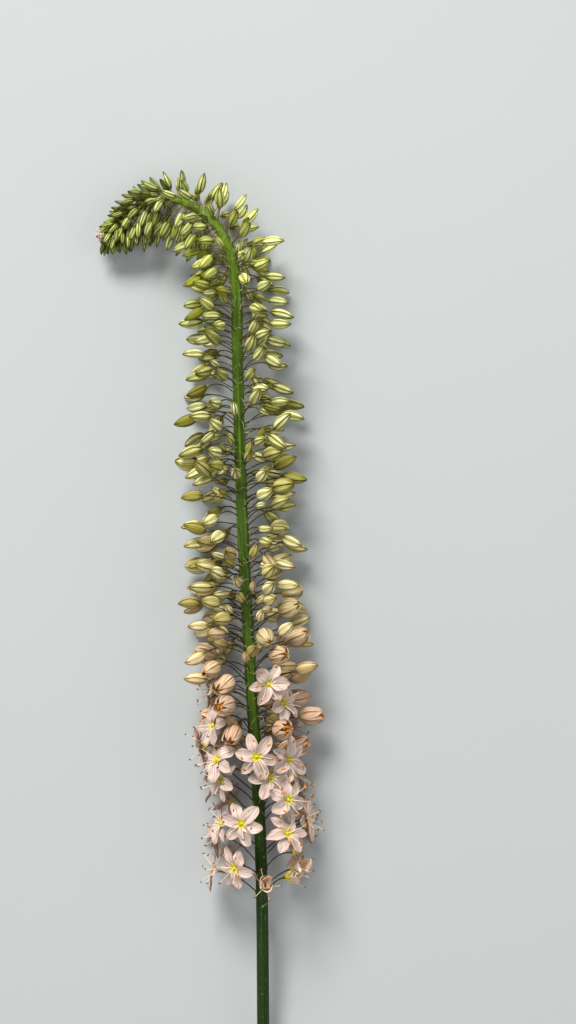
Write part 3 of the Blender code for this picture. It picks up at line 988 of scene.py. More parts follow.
def stalk_columns(places):
    """Rings of points on the stalk without its cushions, and the way out at each point."""
    rings, outs = [], []
    for at in places:
        centre, along, up, side = stalk_frame(at)
        if at == 0.0:
            along, up, side = np.array([0.0, 1.0, 0.0]), UP, np.array([1.0, 0.0, 0.0])
        turns = math.pi + np.arange(STALK_COLUMNS) * math.tau / STALK_COLUMNS
        out = np.cos(turns)[:, None] * up - np.sin(turns)[:, None] * side
        ribs = 1 + RIB_HEIGHT * np.cos(RIBS * turns + at * RIB_TWIST)
        radius = profile(STALK_RADIUS, at) * ribs
        rings.append(centre + radius[:, None] * out)
        outs.append(out)
    return np.array(rings), np.array(outs)


def make_stalk():
    """The stalk as one tube, with its cushions and its cut face."""
    bare = np.arange(0.0, RACEME_START, BARE_RING_GAP)
    flowering = np.arange(RACEME_START, STALK_LENGTH, FLOWERING_RING_GAP)
    places = np.concatenate([bare, flowering])
    rings, outs = stalk_columns(places)
    cushion = np.zeros(rings.shape[:2])
    for floret in florets:
        gap = np.linalg.norm(rings - floret["root"], axis=2)
        cushion = np.maximum(cushion, np.exp(-(gap / CUSHION_REACH) ** 2))
    rings = rings + outs * (CUSHION_HEIGHT * cushion)[..., None]
    middle = rings[0].mean(axis=0)
    face = [middle + (rings[0] - middle) * share for share, _ in CUT_FACE]
    flesh = np.concatenate([np.repeat([f for _, f in CUT_FACE], STALK_COLUMNS), np.zeros(cushion.size)])
    heights = np.concatenate([np.zeros(len(CUT_FACE)), places])
    bed = Bed((np.arange(len(heights)) + 1) / (len(heights) + 1), STALK_COLUMNS)
    bed.add(
        middle,
        np.concatenate([face, rings]),
        stalk_centre(STALK_LENGTH),
        height=np.concatenate([[0.0], np.repeat(heights, STALK_COLUMNS), [STALK_LENGTH]]) / STALK_LENGTH,
        cushion=np.concatenate([[0.0], np.zeros(len(face) * STALK_COLUMNS), cushion.ravel(), [0.0]]),
        flesh=np.concatenate([[1.0], flesh, [0.0]]),
    )
    bed.make("stalk", STALK_SKIN, [STALK_NODE])


make_stalk()

# %% [markdown]
# ## Pedicels
#
# Each floret stands on a pedicel, a wiry stem of its own, that leaves the stalk at a slant and
# curves out. On old florets it is dark purple-brown, on the youngest light green. It thickens at
# both ends: into the cushion below, and into a little cup under the flower. A curve object with a
# bevel could make each one, but there are nearly five hundred. As copies of one tube they are two
# pieces, and each keeps its own bend.

# %% Pedicel finish
PEDICEL_COLOURS = [
    (0.30, paint(40, 31, 24)),
    (0.62, paint(54, 42, 24)),
    (0.80, paint(74, 62, 26)),
    (0.88, paint(112, 96, 44)),
    (0.96, paint(100, 104, 40)),
]
CUP_COLOURS = [
    (0.30, paint(112, 84, 60)),
    (0.60, paint(120, 112, 52)),
    (0.96, paint(104, 118, 40)),
]
PEDICEL_FOOT = paint(116, 126, 56)
PEDICEL_CUP_EDGE = (0.86, 0.98)
PEDICEL_FOOT_EDGE, PEDICEL_FOOT_SHARE = (0.90, 1.0), 0.7
MOTTLE_SCALE = 420.0
PEDICEL_LIGHT, MOTTLE_LIGHT = 0.7, 0.6
MOTTLE_DEPTH = 0.00015


def pedicel_finish():
    """Mottled skin, dark on old florets and green on young ones, with a green foot and a pale cup."""
    finish = Finish("pedicel_skin", Roughness=0.50, Specular_IOR_Level=0.25)
    _, along = finish.map_places()
    colour = finish.by_height(PEDICEL_COLOURS)
    cup = finish.by_height(CUP_COLOURS)
    colour = finish.blend(colour, cup, finish.step(along, *PEDICEL_CUP_EDGE))
    foot = PEDICEL_FOOT_SHARE * finish.step(1 - along, *PEDICEL_FOOT_EDGE)
    colour = finish.blend(colour, PEDICEL_FOOT, foot)
    mottle = finish.grain(MOTTLE_SCALE, detail=3.0)
    colour = finish.lit(colour, PEDICEL_LIGHT + MOTTLE_LIGHT * mottle)
    finish.raised(mottle, MOTTLE_DEPTH)
    return finish.use(colour)


PEDICEL_SKIN = pedicel_finish()
print("the pedicels' skin takes", len(PEDICEL_SKIN.node_tree.nodes), "nodes")

# %% Pedicels
PEDICEL_COLUMNS = 8
PEDICEL_SHARES = (0.005, 0.04, 0.10, 0.20, 0.32, 0.44, 0.56, 0.68, 0.80, 0.90, 0.96, 0.995)
PEDICEL_RADII = [
    (0.0, 0.00090),
    (0.05, 0.00064),
    (0.15, 0.00050),
    (0.78, 0.00048),
    (0.90, 0.00070),
    (1.0, 0.00135),
]
PEDICEL_CELL_SLIMNESS = 4.0
PEDICEL_SINK = 0.0012
SINK_FADE = 6
YOUNG_FROM = 0.9
YOUNG_PEDICEL = 0.8
NEARLY_STRAIGHT = 0.05
CUP_REACH = 0.0008


def add_pedicel(bed, floret):
    """A pedicel, whose foot is sunk into the stalk."""
    leave, face = floret["leave"], floret["face"]
    foot = floret["root"] - floret["out"] * PEDICEL_SINK
    shares = bed.shares[:, None]
    middles = bent(floret["root"], leave, face, floret["stretch"], shares)
    middles = middles + (foot - floret["root"]) * (1 - shares) ** SINK_FADE
    ways = leave * (1 - shares) + face * shares
    square = np.cross(leave, face)
    reference = unit(square) if np.linalg.norm(square) > NEARLY_STRAIGHT else across(face)[0]
    slim = YOUNG_PEDICEL if floret["at"] > YOUNG_FROM else 1.0
    radii = np.array([profile(PEDICEL_RADII, share) * slim for share in bed.shares])
    rings = round_rings(middles, ways, radii, bed.columns, reference)
    bed.add(foot, rings, floret["neck"] + face * CUP_REACH, height=floret["at"] / STALK_LENGTH)


stalked = sorted(florets + late_florets, key=lambda floret: floret["at"])
for name, group in (("pedicels_1", stalked[::2]), ("pedicels_2", stalked[1::2])):
    bed = Bed(PEDICEL_SHARES, PEDICEL_COLUMNS, PEDICEL_CELL_SLIMNESS)
    for floret in group:
        add_pedicel(bed, floret)
    bed.make(name, PEDICEL_SKIN, [STALK_NODE])

# %% [markdown]
# ## Closed buds
#
# A closed bud is six tepals folded over each other. Three outer ones show most, each with a dark
# keel down its middle, and the three inner ones show as strips between them. Six separate tepals
# would cost six times the faces, and all but their backs would be hidden. So the bud is a spindle
# with six ribs, and its colours follow the same six-fold beat: a dark line on each keel, a paler one
# on each strip, and cream between. Buds near the head are lime, and older ones cream, then pink.
#
# No two buds look the same. Two numbers are drawn for each, a whim and a tan. The whim shifts the
# streaks, changes the light a little and turns a few of the older buds rosy before their time. The
# tan says how much olive shows over the cream.

# %% Colours of a bud, by place along the stalk
BUD_CREAM = [
    (0.40, paint(234, 209, 182)),
    (0.47, paint(238, 222, 192)),
    (0.55, paint(250, 242, 206)),
    (0.64, paint(250, 246, 200)),
    (0.74, paint(248, 248, 194)),
    (0.86, paint(254, 255, 198)),
    (0.93, paint(238, 246, 162)),
    (0.975, paint(218, 226, 120)),
]
BUD_OLIVE = [
    (0.40, paint(164, 132, 84)),
    (0.50, paint(168, 152, 74)),
    (0.62, paint(156, 148, 44)),
    (0.71, paint(128, 126, 8)),
    (0.76, paint(120, 120, 0)),
    (0.86, paint(152, 156, 2)),
    (0.93, paint(82, 90, 0)),
    (0.975, paint(60, 70, 0)),
]
BUD_LINES = [
    (0.40, paint(106, 58, 32)),
    (0.50, paint(72, 46, 12)),
    (0.62, paint(50, 40, 1)),
    (0.84, paint(44, 44, 0)),
    (0.93, paint(30, 36, 0)),
    (0.975, paint(20, 26, 0)),
]
BLUSH = paint(220, 177, 152)
OLD_OLIVE = paint(104, 82, 22)
ROSE = paint(182, 142, 124)
print("along the stalk, buds take", len(BUD_CREAM), "creams and", len(BUD_OLIVE), "olives")

# %% Where the colours of a bud change
# Round a bud, 0 is the keel of an outer tepal, 1 is the keel of an inner one, and their edge lies
# between. Along a bud, 0 is its foot and 1 its tip. Along the stalk, 0 is the cut end and 1 the tip.
KEEL_LINE, STRIP_LINE, EDGE_AND_SHADE_LINE = 0.15, 0.13, 0.07
INNER_VEIN, INNER_VEIN_LINE = 0.26, 0.06
OUTER_VEIN, OUTER_VEIN_LINE = 0.46, 0.05
LINE_CORE = 0.25
TEPAL_EDGE = 0.70
BENEATH_EDGE = (TEPAL_EDGE, TEPAL_EDGE + 0.05)
HALO_EDGE = (0.04, 0.42)
BUD_ENDS_EDGE, BUD_TIP_EDGE = (0.22, 0.5), (0.90, 1.0)
WIDER_AT_ENDS, FINER_WITH_AGE = 2.4, 0.28
BUD_STREAKS_ROUND, BUD_STREAKS_ALONG = 60.0, 2.2
BUD_STREAK_EDGE = (0.44, 0.62)
BUD_WHIM_SHIFT = 50.0
OLD_HEIGHTS, ROSY_HEIGHTS, BROWN_HEIGHTS = (0.44, 0.62), (0.58, 0.68), (0.80, 0.88)
ROSY_WHIMS, BLUSH_WHIMS, BROWN_TANS = (0.09, 0.14), (0.30, 0.80), (0.70, 0.98)
print("an outer tepal covers the bud from its keel to", TEPAL_EDGE, "of the way to the next keel")

# %% How much of each layer shows
LEAST_OLIVE, TAN_OLIVE = 0.12, 0.74
BROWN_SHARE, ROSE_SHARE, BLUSH_SHARE = 0.42, 0.75, 0.75
HALO_OLIVE, HALO_LESS_WITH_AGE = 0.74, 0.30
BENEATH_OLIVE, BENEATH_LESS_WITH_AGE = 0.72, 0.22
ENDS_OLIVE, ENDS_LESS_WITH_AGE = 0.85, 0.30
STREAK_OLIVE, LESS_WHEN_ROSY = 0.62, 0.6
INNER_VEIN_SHARE, OUTER_VEIN_SHARE = 0.8, 0.5
DARK_VEINS, DARK_EDGE_AND_SHADE, DARK_KEEL, DARK_TIP = 0.42, 0.70, 0.94, 0.6
DARK_STRIP, WHIM_STRIP = 0.30, 0.50
BUD_LIGHT, WHIM_LIGHT, TAN_SHADE = 0.99, 0.32, 0.28
KEEL_RISE, STRIP_RISE, BUD_STREAK_RISE = 0.6, 0.3, 0.3
EDGE_DIP, VEIN_DIP = 0.7, 0.3
BUD_RELIEF = 0.00030
BUD_ROUGHNESS, STREAK_ROUGHNESS = 0.38, 0.18
print("of the dark layers, the keel shows", DARK_KEEL, "and the veins", DARK_VEINS)

# %% Bud finish


def bud_finish():
    """Cream, over which come olive, rose or blush, and then the dark lines of the tepals, with painted
    shade where their edges overlap.
    """
    finish = Finish("bud_skin", Roughness=0.42, Specular_IOR_Level=0.12)
    turn, along = finish.map_places()
    height, whim, tan = (finish.mark(name) for name in ("height", "whim", "tan"))
    age = 1 - finish.step(height, *OLD_HEIGHTS)
    ends = finish.step(abs(along - 0.5), *BUD_ENDS_EDGE)
    widening = (1 + WIDER_AT_ENDS * ends) * (1 - FINER_WITH_AGE * age)
    from_keel = (turn * TEPALS).folded(1.0)

    def line(place, width):
        """A line along the bud, at a place between two keels."""
        return 1 - finish.step(abs(from_keel - place) / widening, LINE_CORE * width, width)

    keel, strip, edge = line(0.0, KEEL_LINE), line(1.0, STRIP_LINE), line(TEPAL_EDGE, EDGE_AND_SHADE_LINE)
    veins = (
        line(INNER_VEIN, INNER_VEIN_LINE) * INNER_VEIN_SHARE
        + line(OUTER_VEIN, OUTER_VEIN_LINE) * OUTER_VEIN_SHARE
    )
    halo = 1 - finish.step(from_keel, *HALO_EDGE)
    beneath = finish.step(from_keel, *BENEATH_EDGE)
    round_places = turn * BUD_STREAKS_ROUND + whim * BUD_WHIM_SHIFT
    streak_places = finish.places(round_places, along * BUD_STREAKS_ALONG)
    streaks = finish.grain(1.0, detail=2.0, places=streak_places)
    colour, olive, dark = (finish.by_height(stops) for stops in (BUD_CREAM, BUD_OLIVE, BUD_LINES))
    colour = finish.blend(colour, olive, LEAST_OLIVE + TAN_OLIVE * tan)
    browned = finish.step(tan, *BROWN_TANS) * (1 - finish.step(height, *BROWN_HEIGHTS))
    colour = finish.blend(colour, OLD_OLIVE, BROWN_SHARE * browned)
    rosy = (1 - finish.step(whim, *ROSY_WHIMS)) * (1 - finish.step(height, *ROSY_HEIGHTS))
    colour = finish.blend(colour, ROSE, ROSE_SHARE * rosy)
    colour = finish.blend(colour, BLUSH, BLUSH_SHARE * age * finish.step(whim, *BLUSH_WHIMS))
    halo_olive = halo * (HALO_OLIVE - HALO_LESS_WITH_AGE * age)
    colour = finish.blend(colour, olive, halo_olive * (1 - LESS_WHEN_ROSY * rosy))
    beneath_olive = beneath * (BENEATH_OLIVE - BENEATH_LESS_WITH_AGE * age)
    colour = finish.blend(colour, olive, beneath_olive * (1 - LESS_WHEN_ROSY * rosy))
    colour = finish.blend(colour, olive, STREAK_OLIVE * finish.step(streaks, *BUD_STREAK_EDGE))
    colour = finish.blend(colour, olive, ends * (ENDS_OLIVE - ENDS_LESS_WITH_AGE * age))
    colour = finish.blend(colour, dark, DARK_VEINS * veins * (1 - ends))
    # The dark line at an outer tepal's edge is its margin, together with painted shade in the crease
    # over the inner tepal.
    colour = finish.blend(colour, dark, DARK_EDGE_AND_SHADE * edge)
    colour = finish.blend(colour, dark, DARK_KEEL * keel)
    colour = finish.blend(colour, dark, strip * (DARK_STRIP + WHIM_STRIP * whim))
    colour = finish.blend(colour, dark, DARK_TIP * finish.step(along, *BUD_TIP_EDGE))
    colour = finish.lit(colour, BUD_LIGHT + WHIM_LIGHT * whim - TAN_SHADE * tan * tan)
    ridges = KEEL_RISE * keel + STRIP_RISE * strip
    finish.raised(ridges - EDGE_DIP * edge - VEIN_DIP * veins + BUD_STREAK_RISE * streaks, BUD_RELIEF)
    return finish.use(colour, BUD_ROUGHNESS + STREAK_ROUGHNESS * streaks)


BUD_SKIN = bud_finish()
print("the buds' skin takes", len(BUD_SKIN.node_tree.nodes), "nodes")

# %% Girth of a bud
OUTER_TEPALS = TEPALS // 2
BUD_TAPER = (0.62, 0.80)


def girth_at(share, taper):
    """Girth at a share of the length, as a share of the widest. A higher power points an end more."""
    near_power, far_power = taper
    widest = near_power / (near_power + far_power)
    return (share / widest) ** near_power * ((1 - share) / (1 - widest)) ** far_power


print("a bud's girth by fifths of its length:", girth_at(np.linspace(0, 1, 6), BUD_TAPER).round(2))

# %% Bud shapes
BUD_RINGS, BUD_COLUMNS = 15, 36
BUD_FULLNESS = [(0.46, 0.98), (0.60, 0.92), (0.80, 0.90), (0.88, 0.88), (0.99, 0.86)]
BUD_STRETCH = [(0.50, 1.06), (0.60, 1.12), (0.80, 1.14), (0.88, 1.20), (0.99, 1.30)]
OUTER_TEPAL_LIFT = 0.020
INNER_TEPAL_SINK = 0.035
KEEL_HEIGHT = 0.050
INNER_KEEL_HEIGHT = 0.030
KEEL_SPREAD = 0.10
BUD_TILT = [(0.88, 0.11), (0.93, 0.20)]
BUD_BOW = 0.0007
STRETCH_RANGE = (0.94, 1.08)
FULLNESS_RANGE = (0.92, 1.06)
TAN_POWER = 1.25


def add_bud(bed, bud, rise, rng):
    """A bud on its neck. The rise turns one that stands up off the surface towards the tip."""
    turns = np.arange(bed.columns) / bed.columns
    from_keel = np.abs((turns * OUTER_TEPALS + 0.5) % 1 - 0.5) * 2
    relief = np.where(from_keel < TEPAL_EDGE, OUTER_TEPAL_LIFT, -INNER_TEPAL_SINK)
    relief = relief + KEEL_HEIGHT * np.exp(-(from_keel / KEEL_SPREAD) ** 2)
    relief = relief + INNER_KEEL_HEIGHT * np.exp(-((1 - from_keel) / KEEL_SPREAD) ** 2)
    first, second = across(bud["face"])
    tilt = profile(BUD_TILT, bud["at"])
    towards_tip = stalk_frame(bud["at"])[1] * rise * max(0.0, bud["face"][2])
    way = unit(bud["face"] + towards_tip + tilt * (rng.gauss(0, 1) * first + rng.gauss(0, 1) * second))
    first, second = across(way)
    reference = math.cos(bud["twist"]) * first + math.sin(bud["twist"]) * second
    bow = BUD_BOW * (rng.gauss(0, 1) * first + rng.gauss(0, 1) * second)
    length = profile(BUD_STRETCH, bud["at"]) * bud["length"] * rng.uniform(*STRETCH_RANGE)
    fullness = profile(BUD_FULLNESS, bud["at"]) * rng.uniform(*FULLNESS_RANGE)
    radii = fullness * bud["radius"] * girth_at(bed.shares, BUD_TAPER)[:, None] * (1 + relief[None])
    shares = bed.shares[:, None]
    middles = bud["neck"] + way * length * shares + bow * 4 * shares * (1 - shares)
    ways = way * length + bow * 4 * (1 - 2 * shares)
    rings = round_rings(middles, ways, radii, bed.columns, reference)
    whim, tan = rng.random(), rng.random() ** TAN_POWER
    height = bud["at"] / STALK_LENGTH
    bed.add(bud["neck"], rings, bud["neck"] + way * length, height=height, whim=whim, tan=tan)


print("a bud is", BUD_RINGS, "rings of", BUD_COLUMNS, "points")

# %% Closed buds
LOOKS_SEED = 5
BUD_GROUPS = 8
BUD_CELL_SLIMNESS = 0.55
RISE_TO_TIP = 0.40

looks = random.Random(LOOKS_SEED)
for group in range(BUD_GROUPS):
    bed = Bed(even_ends(BUD_RINGS), BUD_COLUMNS, BUD_CELL_SLIMNESS)
    for bud in closed[group::BUD_GROUPS]:
        add_bud(bed, bud, RISE_TO_TIP, looks)
    bed.make(f"closed_buds_{group + 1}", BUD_SKIN, [STALK_NODE])

# %% Late buds, as small as they are
LATE_BUD_RINGS, LATE_BUD_COLUMNS = 11, 24
LATE_RISE = 1.1

bed = Bed(even_ends(LATE_BUD_RINGS), LATE_BUD_COLUMNS, BUD_CELL_SLIMNESS)
for bud in late_florets:
    add_bud(bed, bud, LATE_RISE, looks)
bed.make("late_buds", BUD_SKIN, [STALK_NODE])

# %% [markdown]
# ## The head
#
# At the tip the youngest buds sit so close that no stalk shows between them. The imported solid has
# a thick core there. That core could keep its shape and get a scaly pattern, but its outline would
# stay smooth. So a cone of the smallest buds takes its place, pressed to the stalk like scales. The
# last dry bracts make a pale tuft at the very end, which comes with the other bracts below.

# %% Smallest buds
SMALL_BUDS_FROM = 0.932
SMALL_BUDS_TO = 0.988
SMALL_BUD_GAP = 0.00078
SMALL_BUD_LENGTH = [(0.92, 0.0100), (0.95, 0.0088), (0.985, 0.0062)]
SMALL_BUD_SLIMNESS = 0.23
SMALL_BUD_SPREAD = [(0.92, 0.52), (0.96, 0.62), (0.985, 0.45)]
SMALL_LENGTH_RANGE, SMALL_SPREAD_RANGE = (0.88, 1.12), (0.8, 1.2)
SMALL_BUD_RINGS, SMALL_BUD_COLUMNS = 9, 18
SMALL_BUD_FOOT = 0.8
FIRST_TURN = 0.4

bed = Bed(even_ends(SMALL_BUD_RINGS), SMALL_BUD_COLUMNS, BUD_CELL_SLIMNESS)
at, turn = SMALL_BUDS_FROM, FIRST_TURN
while at < SMALL_BUDS_TO:
    centre, along, up, side = stalk_frame(at)
    out = math.cos(turn) * up + math.sin(turn) * side
    length = profile(SMALL_BUD_LENGTH, at) * looks.uniform(*SMALL_LENGTH_RANGE)
    neck = centre + out * profile(STALK_RADIUS, at) * SMALL_BUD_FOOT
    spread = profile(SMALL_BUD_SPREAD, at) * looks.uniform(*SMALL_SPREAD_RANGE)
    small = {
        "at": at,
        "neck": neck,
        "face": unit(along + out * spread),
        "length": length,
        "radius": length * SMALL_BUD_SLIMNESS,
        "twist": looks.uniform(0, math.tau),
    }
    add_bud(bed, small, 0.0, looks)
    at += SMALL_BUD_GAP
    turn += GOLDEN_ANGLE
bed.make("smallest_buds", BUD_SKIN, [STALK_NODE])

# %% [markdown]
# ## Tepals
#
# A tepal is as thin as paper, pale pink, with fine veins, a darker keel down its back and a yellow
# foot. A flat sheet with a solidify modifier would give a rim of one thickness. Here each is a tube
# that is pressed flat: half of a ring's points run across its face and the other half back behind
# it, and they meet in a thin rim. The same form serves flowers that are open, just parting and
# withered. Only its middle line, its width and how its edges lift are different.
#
# One recipe makes all three finishes too, with other colours. The veins are noise that is stretched
# along the tepal, because drawn lines would look ruled.

# %% Masks of a tepal
# Sideways, 0 is the keel and 1 the rim. The back has a stronger keel than the face, and less of the
# colour of the foot.
PALE_STREAK = paint(250, 240, 226)
VEINS_ACROSS, VEINS_ALONG = 34.0, 1.4
TEPAL_WHIM_SHIFT = 40.0
BACK_EDGE = (0.495, 0.505)
TEPAL_STREAK_EDGE = (0.44, 0.70)
PALE_EDGE, PALE_SHARE = (0.50, 0.68), 0.45
KEEL_HALF, KEEL_WIDER_BEHIND = 0.07, 0.06
KEEL_EDGE, KEEL_SHARE, KEEL_MORE_BEHIND = (0.35, 1.0), 0.30, 0.50
SIDE_LINE = 0.34
SIDE_LINE_EDGE, SIDE_LINE_SHARE, SIDE_LINE_MORE_BEHIND = (0.1, 0.7), 0.10, 0.12
KEEL_FADE_EDGE, KEEL_FADE = (0.70, 1.0), 0.75
BASE_EDGE, BASE_LESS_BEHIND = (0.17, 0.30), 0.7
PAINTED_GLOW_EDGE, PAINTED_RIM_GLOW = (0.80, 1.0), 1.15
BROWN_END_EDGE, BROWN_END_WHIMS, BROWN_END_SHARE = (0.80, 1.0), (0.30, 0.90), 0.45
TEPAL_LIGHT, TEPAL_WHIM_LIGHT = 0.88, 0.24
TEPAL_VEIN_RISE, TEPAL_KEEL_RISE = 0.5, 0.6
TEPAL_RELIEF = 0.00025
print("a tepal's finish has about", VEINS_ACROSS / 2, "veins from edge to edge")

# %% Tepal finish


def tepal_finish(name, face, back, keel, base, veins_share, **constants):
    """Face and back of a tepal, with a keel down its middle, fine veins, a coloured base and a painted
    glow at its thin rim.
    """
    finish = Finish(name, Specular_IOR_Level=0.2, **constants)
    face, back, keel = (finish.by_height(c) if isinstance(c, list) else c for c in (face, back, keel))
    turn, along = finish.map_places()
    whim = finish.mark("whim")
    sideways = abs(turn.folded(0.5) * 4.0 - 1.0)
    behind = finish.step(turn, *BACK_EDGE)
    spread = turn.folded(0.5) * VEINS_ACROSS + whim * TEPAL_WHIM_SHIFT
    veins = finish.grain(1.0, detail=2.0, places=finish.places(spread, along * VEINS_ALONG))
    streaks = finish.step(veins, *TEPAL_STREAK_EDGE)
    colour = finish.blend(face, back, behind)
    pale = finish.blend(colour, PALE_STREAK, PALE_SHARE)
    colour = finish.blend(colour, pale, finish.step(1 - veins, *PALE_EDGE))
    colour = finish.blend(colour, keel, veins_share * streaks)
    half = KEEL_HALF + KEEL_WIDER_BEHIND * behind
    line = 1 - finish.step(sideways / half, *KEEL_EDGE)
    side_lines = 1 - finish.step(abs(sideways - SIDE_LINE) / half, *SIDE_LINE_EDGE)
    fade = 1 - KEEL_FADE * finish.step(along, *KEEL_FADE_EDGE)
    colour = finish.blend(colour, keel, (KEEL_SHARE + KEEL_MORE_BEHIND * behind) * line * fade)
    side_share = SIDE_LINE_SHARE + SIDE_LINE_MORE_BEHIND * behind
    colour = finish.blend(colour, keel, side_share * side_lines * fade)
    at_base = 1 - finish.step(along, *BASE_EDGE)
    colour = finish.blend(colour, base, at_base * (1 - BASE_LESS_BEHIND * behind))
    # Towards the rim the colour is lightened: a painted glow of light shining through the thin edge.
    painted_rim_glow = finish.lit(colour, PAINTED_RIM_GLOW)
    colour = finish.blend(colour, painted_rim_glow, finish.step(sideways, *PAINTED_GLOW_EDGE))
    browned = finish.step(along, *BROWN_END_EDGE) * finish.step(whim, *BROWN_END_WHIMS)
    colour = finish.blend(colour, keel, BROWN_END_SHARE * browned)
    colour = finish.lit(colour, TEPAL_LIGHT + TEPAL_WHIM_LIGHT * whim)
    finish.raised(TEPAL_VEIN_RISE * veins + TEPAL_KEEL_RISE * line, TEPAL_RELIEF)
    return finish.use(colour)


back_reach = KEEL_HALF + KEEL_WIDER_BEHIND
print(f"the keel reaches {KEEL_HALF:.2f} of the way to the rim, and {back_reach:.2f} on the back")

# %% Finishes of open, parting and withered tepals
PETAL = tepal_finish(
    "petal",
    face=paint(191, 169, 158),
    back=paint(178, 148, 131),
    keel=paint(118, 76, 48),
    base=paint(196, 184, 10),
    veins_share=0.40,
    Roughness=0.55,
)
PARTING_PETAL = tepal_finish(
    "parting_petal",
    face=[(0.40, paint(212, 172, 140)), (0.60, paint(204, 190, 122))],
    back=[
        (0.38, paint(185, 148, 124)),
        (0.48, paint(188, 156, 124)),
        (0.54, paint(186, 170, 118)),
        (0.60, paint(180, 174, 104)),
    ],
    keel=[(0.38, paint(122, 70, 44)), (0.54, paint(98, 66, 24)), (0.66, paint(62, 56, 6))],
    base=paint(160, 134, 50),
    veins_share=0.36,
    Roughness=0.50,
)
WITHERED_PETAL = tepal_finish(
    "withered_petal",
    face=paint(232, 206, 178),
    back=paint(228, 200, 172),
    keel=paint(108, 66, 38),
    base=paint(150, 124, 54),
    veins_share=0.44,
    Roughness=0.62,
)
print("an open tepal's finish takes", len(PETAL.node_tree.nodes), "nodes")

# %% Tepal shapes
TEPAL_COLUMNS = 20
TEPAL_RINGS = 14
TEPAL_SHARES = 0.03 + 0.965 * even_ends(TEPAL_RINGS)
FOOT_REACH = 0.0004
TIP_REACH = 0.0005
RIM_THICKNESS = 0.00016
MIDDLE_THICKNESS = 0.00045
TEPAL_TAPER = (0.80, 0.58)
OUTER_HALF_WIDTH = 0.0049
INNER_HALF_WIDTH = 0.0057
OVERLAP = 1.45
LAYER_LIFT = 0.00045


def add_tepal(bed, middles, ways, inwards, widths, lifts, whim):
    """A flat tube. Lifts give how far its points rise from the middle line, by ring and column."""
    half = bed.columns // 2
    turns = np.arange(bed.columns) * math.pi / half
    sideways = -np.cos(turns)
    behind = np.arange(bed.columns) > half
    full = RIM_THICKNESS + MIDDLE_THICKNESS * np.sqrt(np.abs(np.sin(turns)))
    thickness = np.where(behind, full, 0.0)
    sides = np.cross(ways, inwards)
    rings = middles[:, None] + sides[:, None] * (widths[:, None] * sideways)[..., None]
    rings = rings + inwards[:, None] * (lifts(sideways) - thickness)[..., None]
    start = middles[0] - ways[0] * FOOT_REACH
    end = middles[-1] + ways[-1] * TIP_REACH + inwards[-1] * lifts(sideways)[-1, half // 2]
    bed.add(start, rings, end, whim=whim)


def tepal_ways(flower, k, shares):
    """Along tepal k: the way to each share of its length, and the way its face looks there."""
    ways, inwards = zip(*(tepal_way(flower, k, share) for share in shares))
    return np.array(ways), np.array(inwards)


def later(shares, start):
    """0 up to a share of the length, and from there evenly up to 1 at the tip."""
    return np.clip((shares - start) / (1 - start), 0, 1)


print("a tepal is", TEPAL_RINGS, "rings of", TEPAL_COLUMNS, "points")

# %% [markdown]
# ## Open flowers
#
# An open flower is a star of six broad, pale pink tepals, a yellow centre, and six long stamens.
# One tepal could be made and turned five times, but such a flower looks stamped. So only the middle
# lines come from the plan. Each tepal is cupped along its length, turns back at its tip, twists and
# has a slightly wavy rim, by amounts that are drawn for each one.

# %% Open tepals
FLOWER_GROUPS = 4
CUPPING = (0.04, 0.30)
FOLDING = (0.0, 0.30)
TURNED_BACK = (-0.0010, 0.0045)
TURNS_BACK_FROM = 0.45
WAVE_HEIGHT = (0.0003, 0.0009)
WAVES_ALONG, WAVES_ACROSS = 13, 2.5
OPEN_LENGTH = (0.90, 1.06)
OPEN_WIDTH = (0.88, 1.08)
SIDEWAYS_STRAY = 0.0012
TWIST_STRAY = 0.22
LEAST_WIDTH = 0.0003


def add_open_tepal(bed, flower, k, rng):
    """A broad tepal. The outer three are narrower and lie behind the inner ones."""
    outer = k % 2 == 0
    shares = bed.shares
    ways, inwards = tepal_ways(flower, k, shares)
    sides = np.cross(ways, inwards)
    middles = flower["neck"] + ways * (shares * flower["tepal"] * rng.uniform(*OPEN_LENGTH))[:, None]
    layer = -LAYER_LIFT if outer else LAYER_LIFT
    turned = rng.uniform(*TURNED_BACK) * later(shares, TURNS_BACK_FROM) ** 2
    middles = middles + inwards * (layer - turned)[:, None]
    middles = middles + sides * (rng.gauss(0, SIDEWAYS_STRAY) * shares**2)[:, None]
    from_axis = np.linalg.norm(np.cross(ways, flower["face"]), axis=1) * shares * flower["tepal"]
    widths = (OUTER_HALF_WIDTH if outer else INNER_HALF_WIDTH) * rng.uniform(*OPEN_WIDTH)
    widths = widths * girth_at(shares, TEPAL_TAPER)
    room = OVERLAP * from_axis * math.tan(math.pi / TEPALS) + LEAST_WIDTH
    widths = np.minimum(widths, room)
    cup, fold, wave = rng.uniform(*CUPPING), rng.uniform(*FOLDING), rng.uniform(*WAVE_HEIGHT)
    beat, twist = rng.uniform(0, math.tau), rng.gauss(0, TWIST_STRAY)

    def lifts(sideways):
        along = shares[:, None]
        raised = cup * sideways**2 + fold * np.abs(sideways) + twist * along * sideways
        ripple = wave * np.sin(along * WAVES_ALONG + beat + WAVES_ACROSS * sideways)
        return widths[:, None] * raised + ripple * sideways**2

    add_tepal(bed, middles, ways, inwards, widths, lifts, rng.random())


for group in range(FLOWER_GROUPS):
    bed = Bed(TEPAL_SHARES, TEPAL_COLUMNS)
    for flower in flowers[group::FLOWER_GROUPS]:
        for k in range(TEPALS):
            add_open_tepal(bed, flower, k, looks)
    bed.make(f"open_tepals_{group + 1}", PETAL, FLOWER_NODES)

# %% [markdown]
# ## Buds that are parting
#
# Before it opens, a bud swells into a pink globe. The tepals still follow the bud's shape, but
# their tips stand apart round a small mouth. A globe with a hole in it would show no edges, so here
# the six tepals are made one by one. Each wraps part of the way round the globe, and the outer three
# lie over the inner ones.

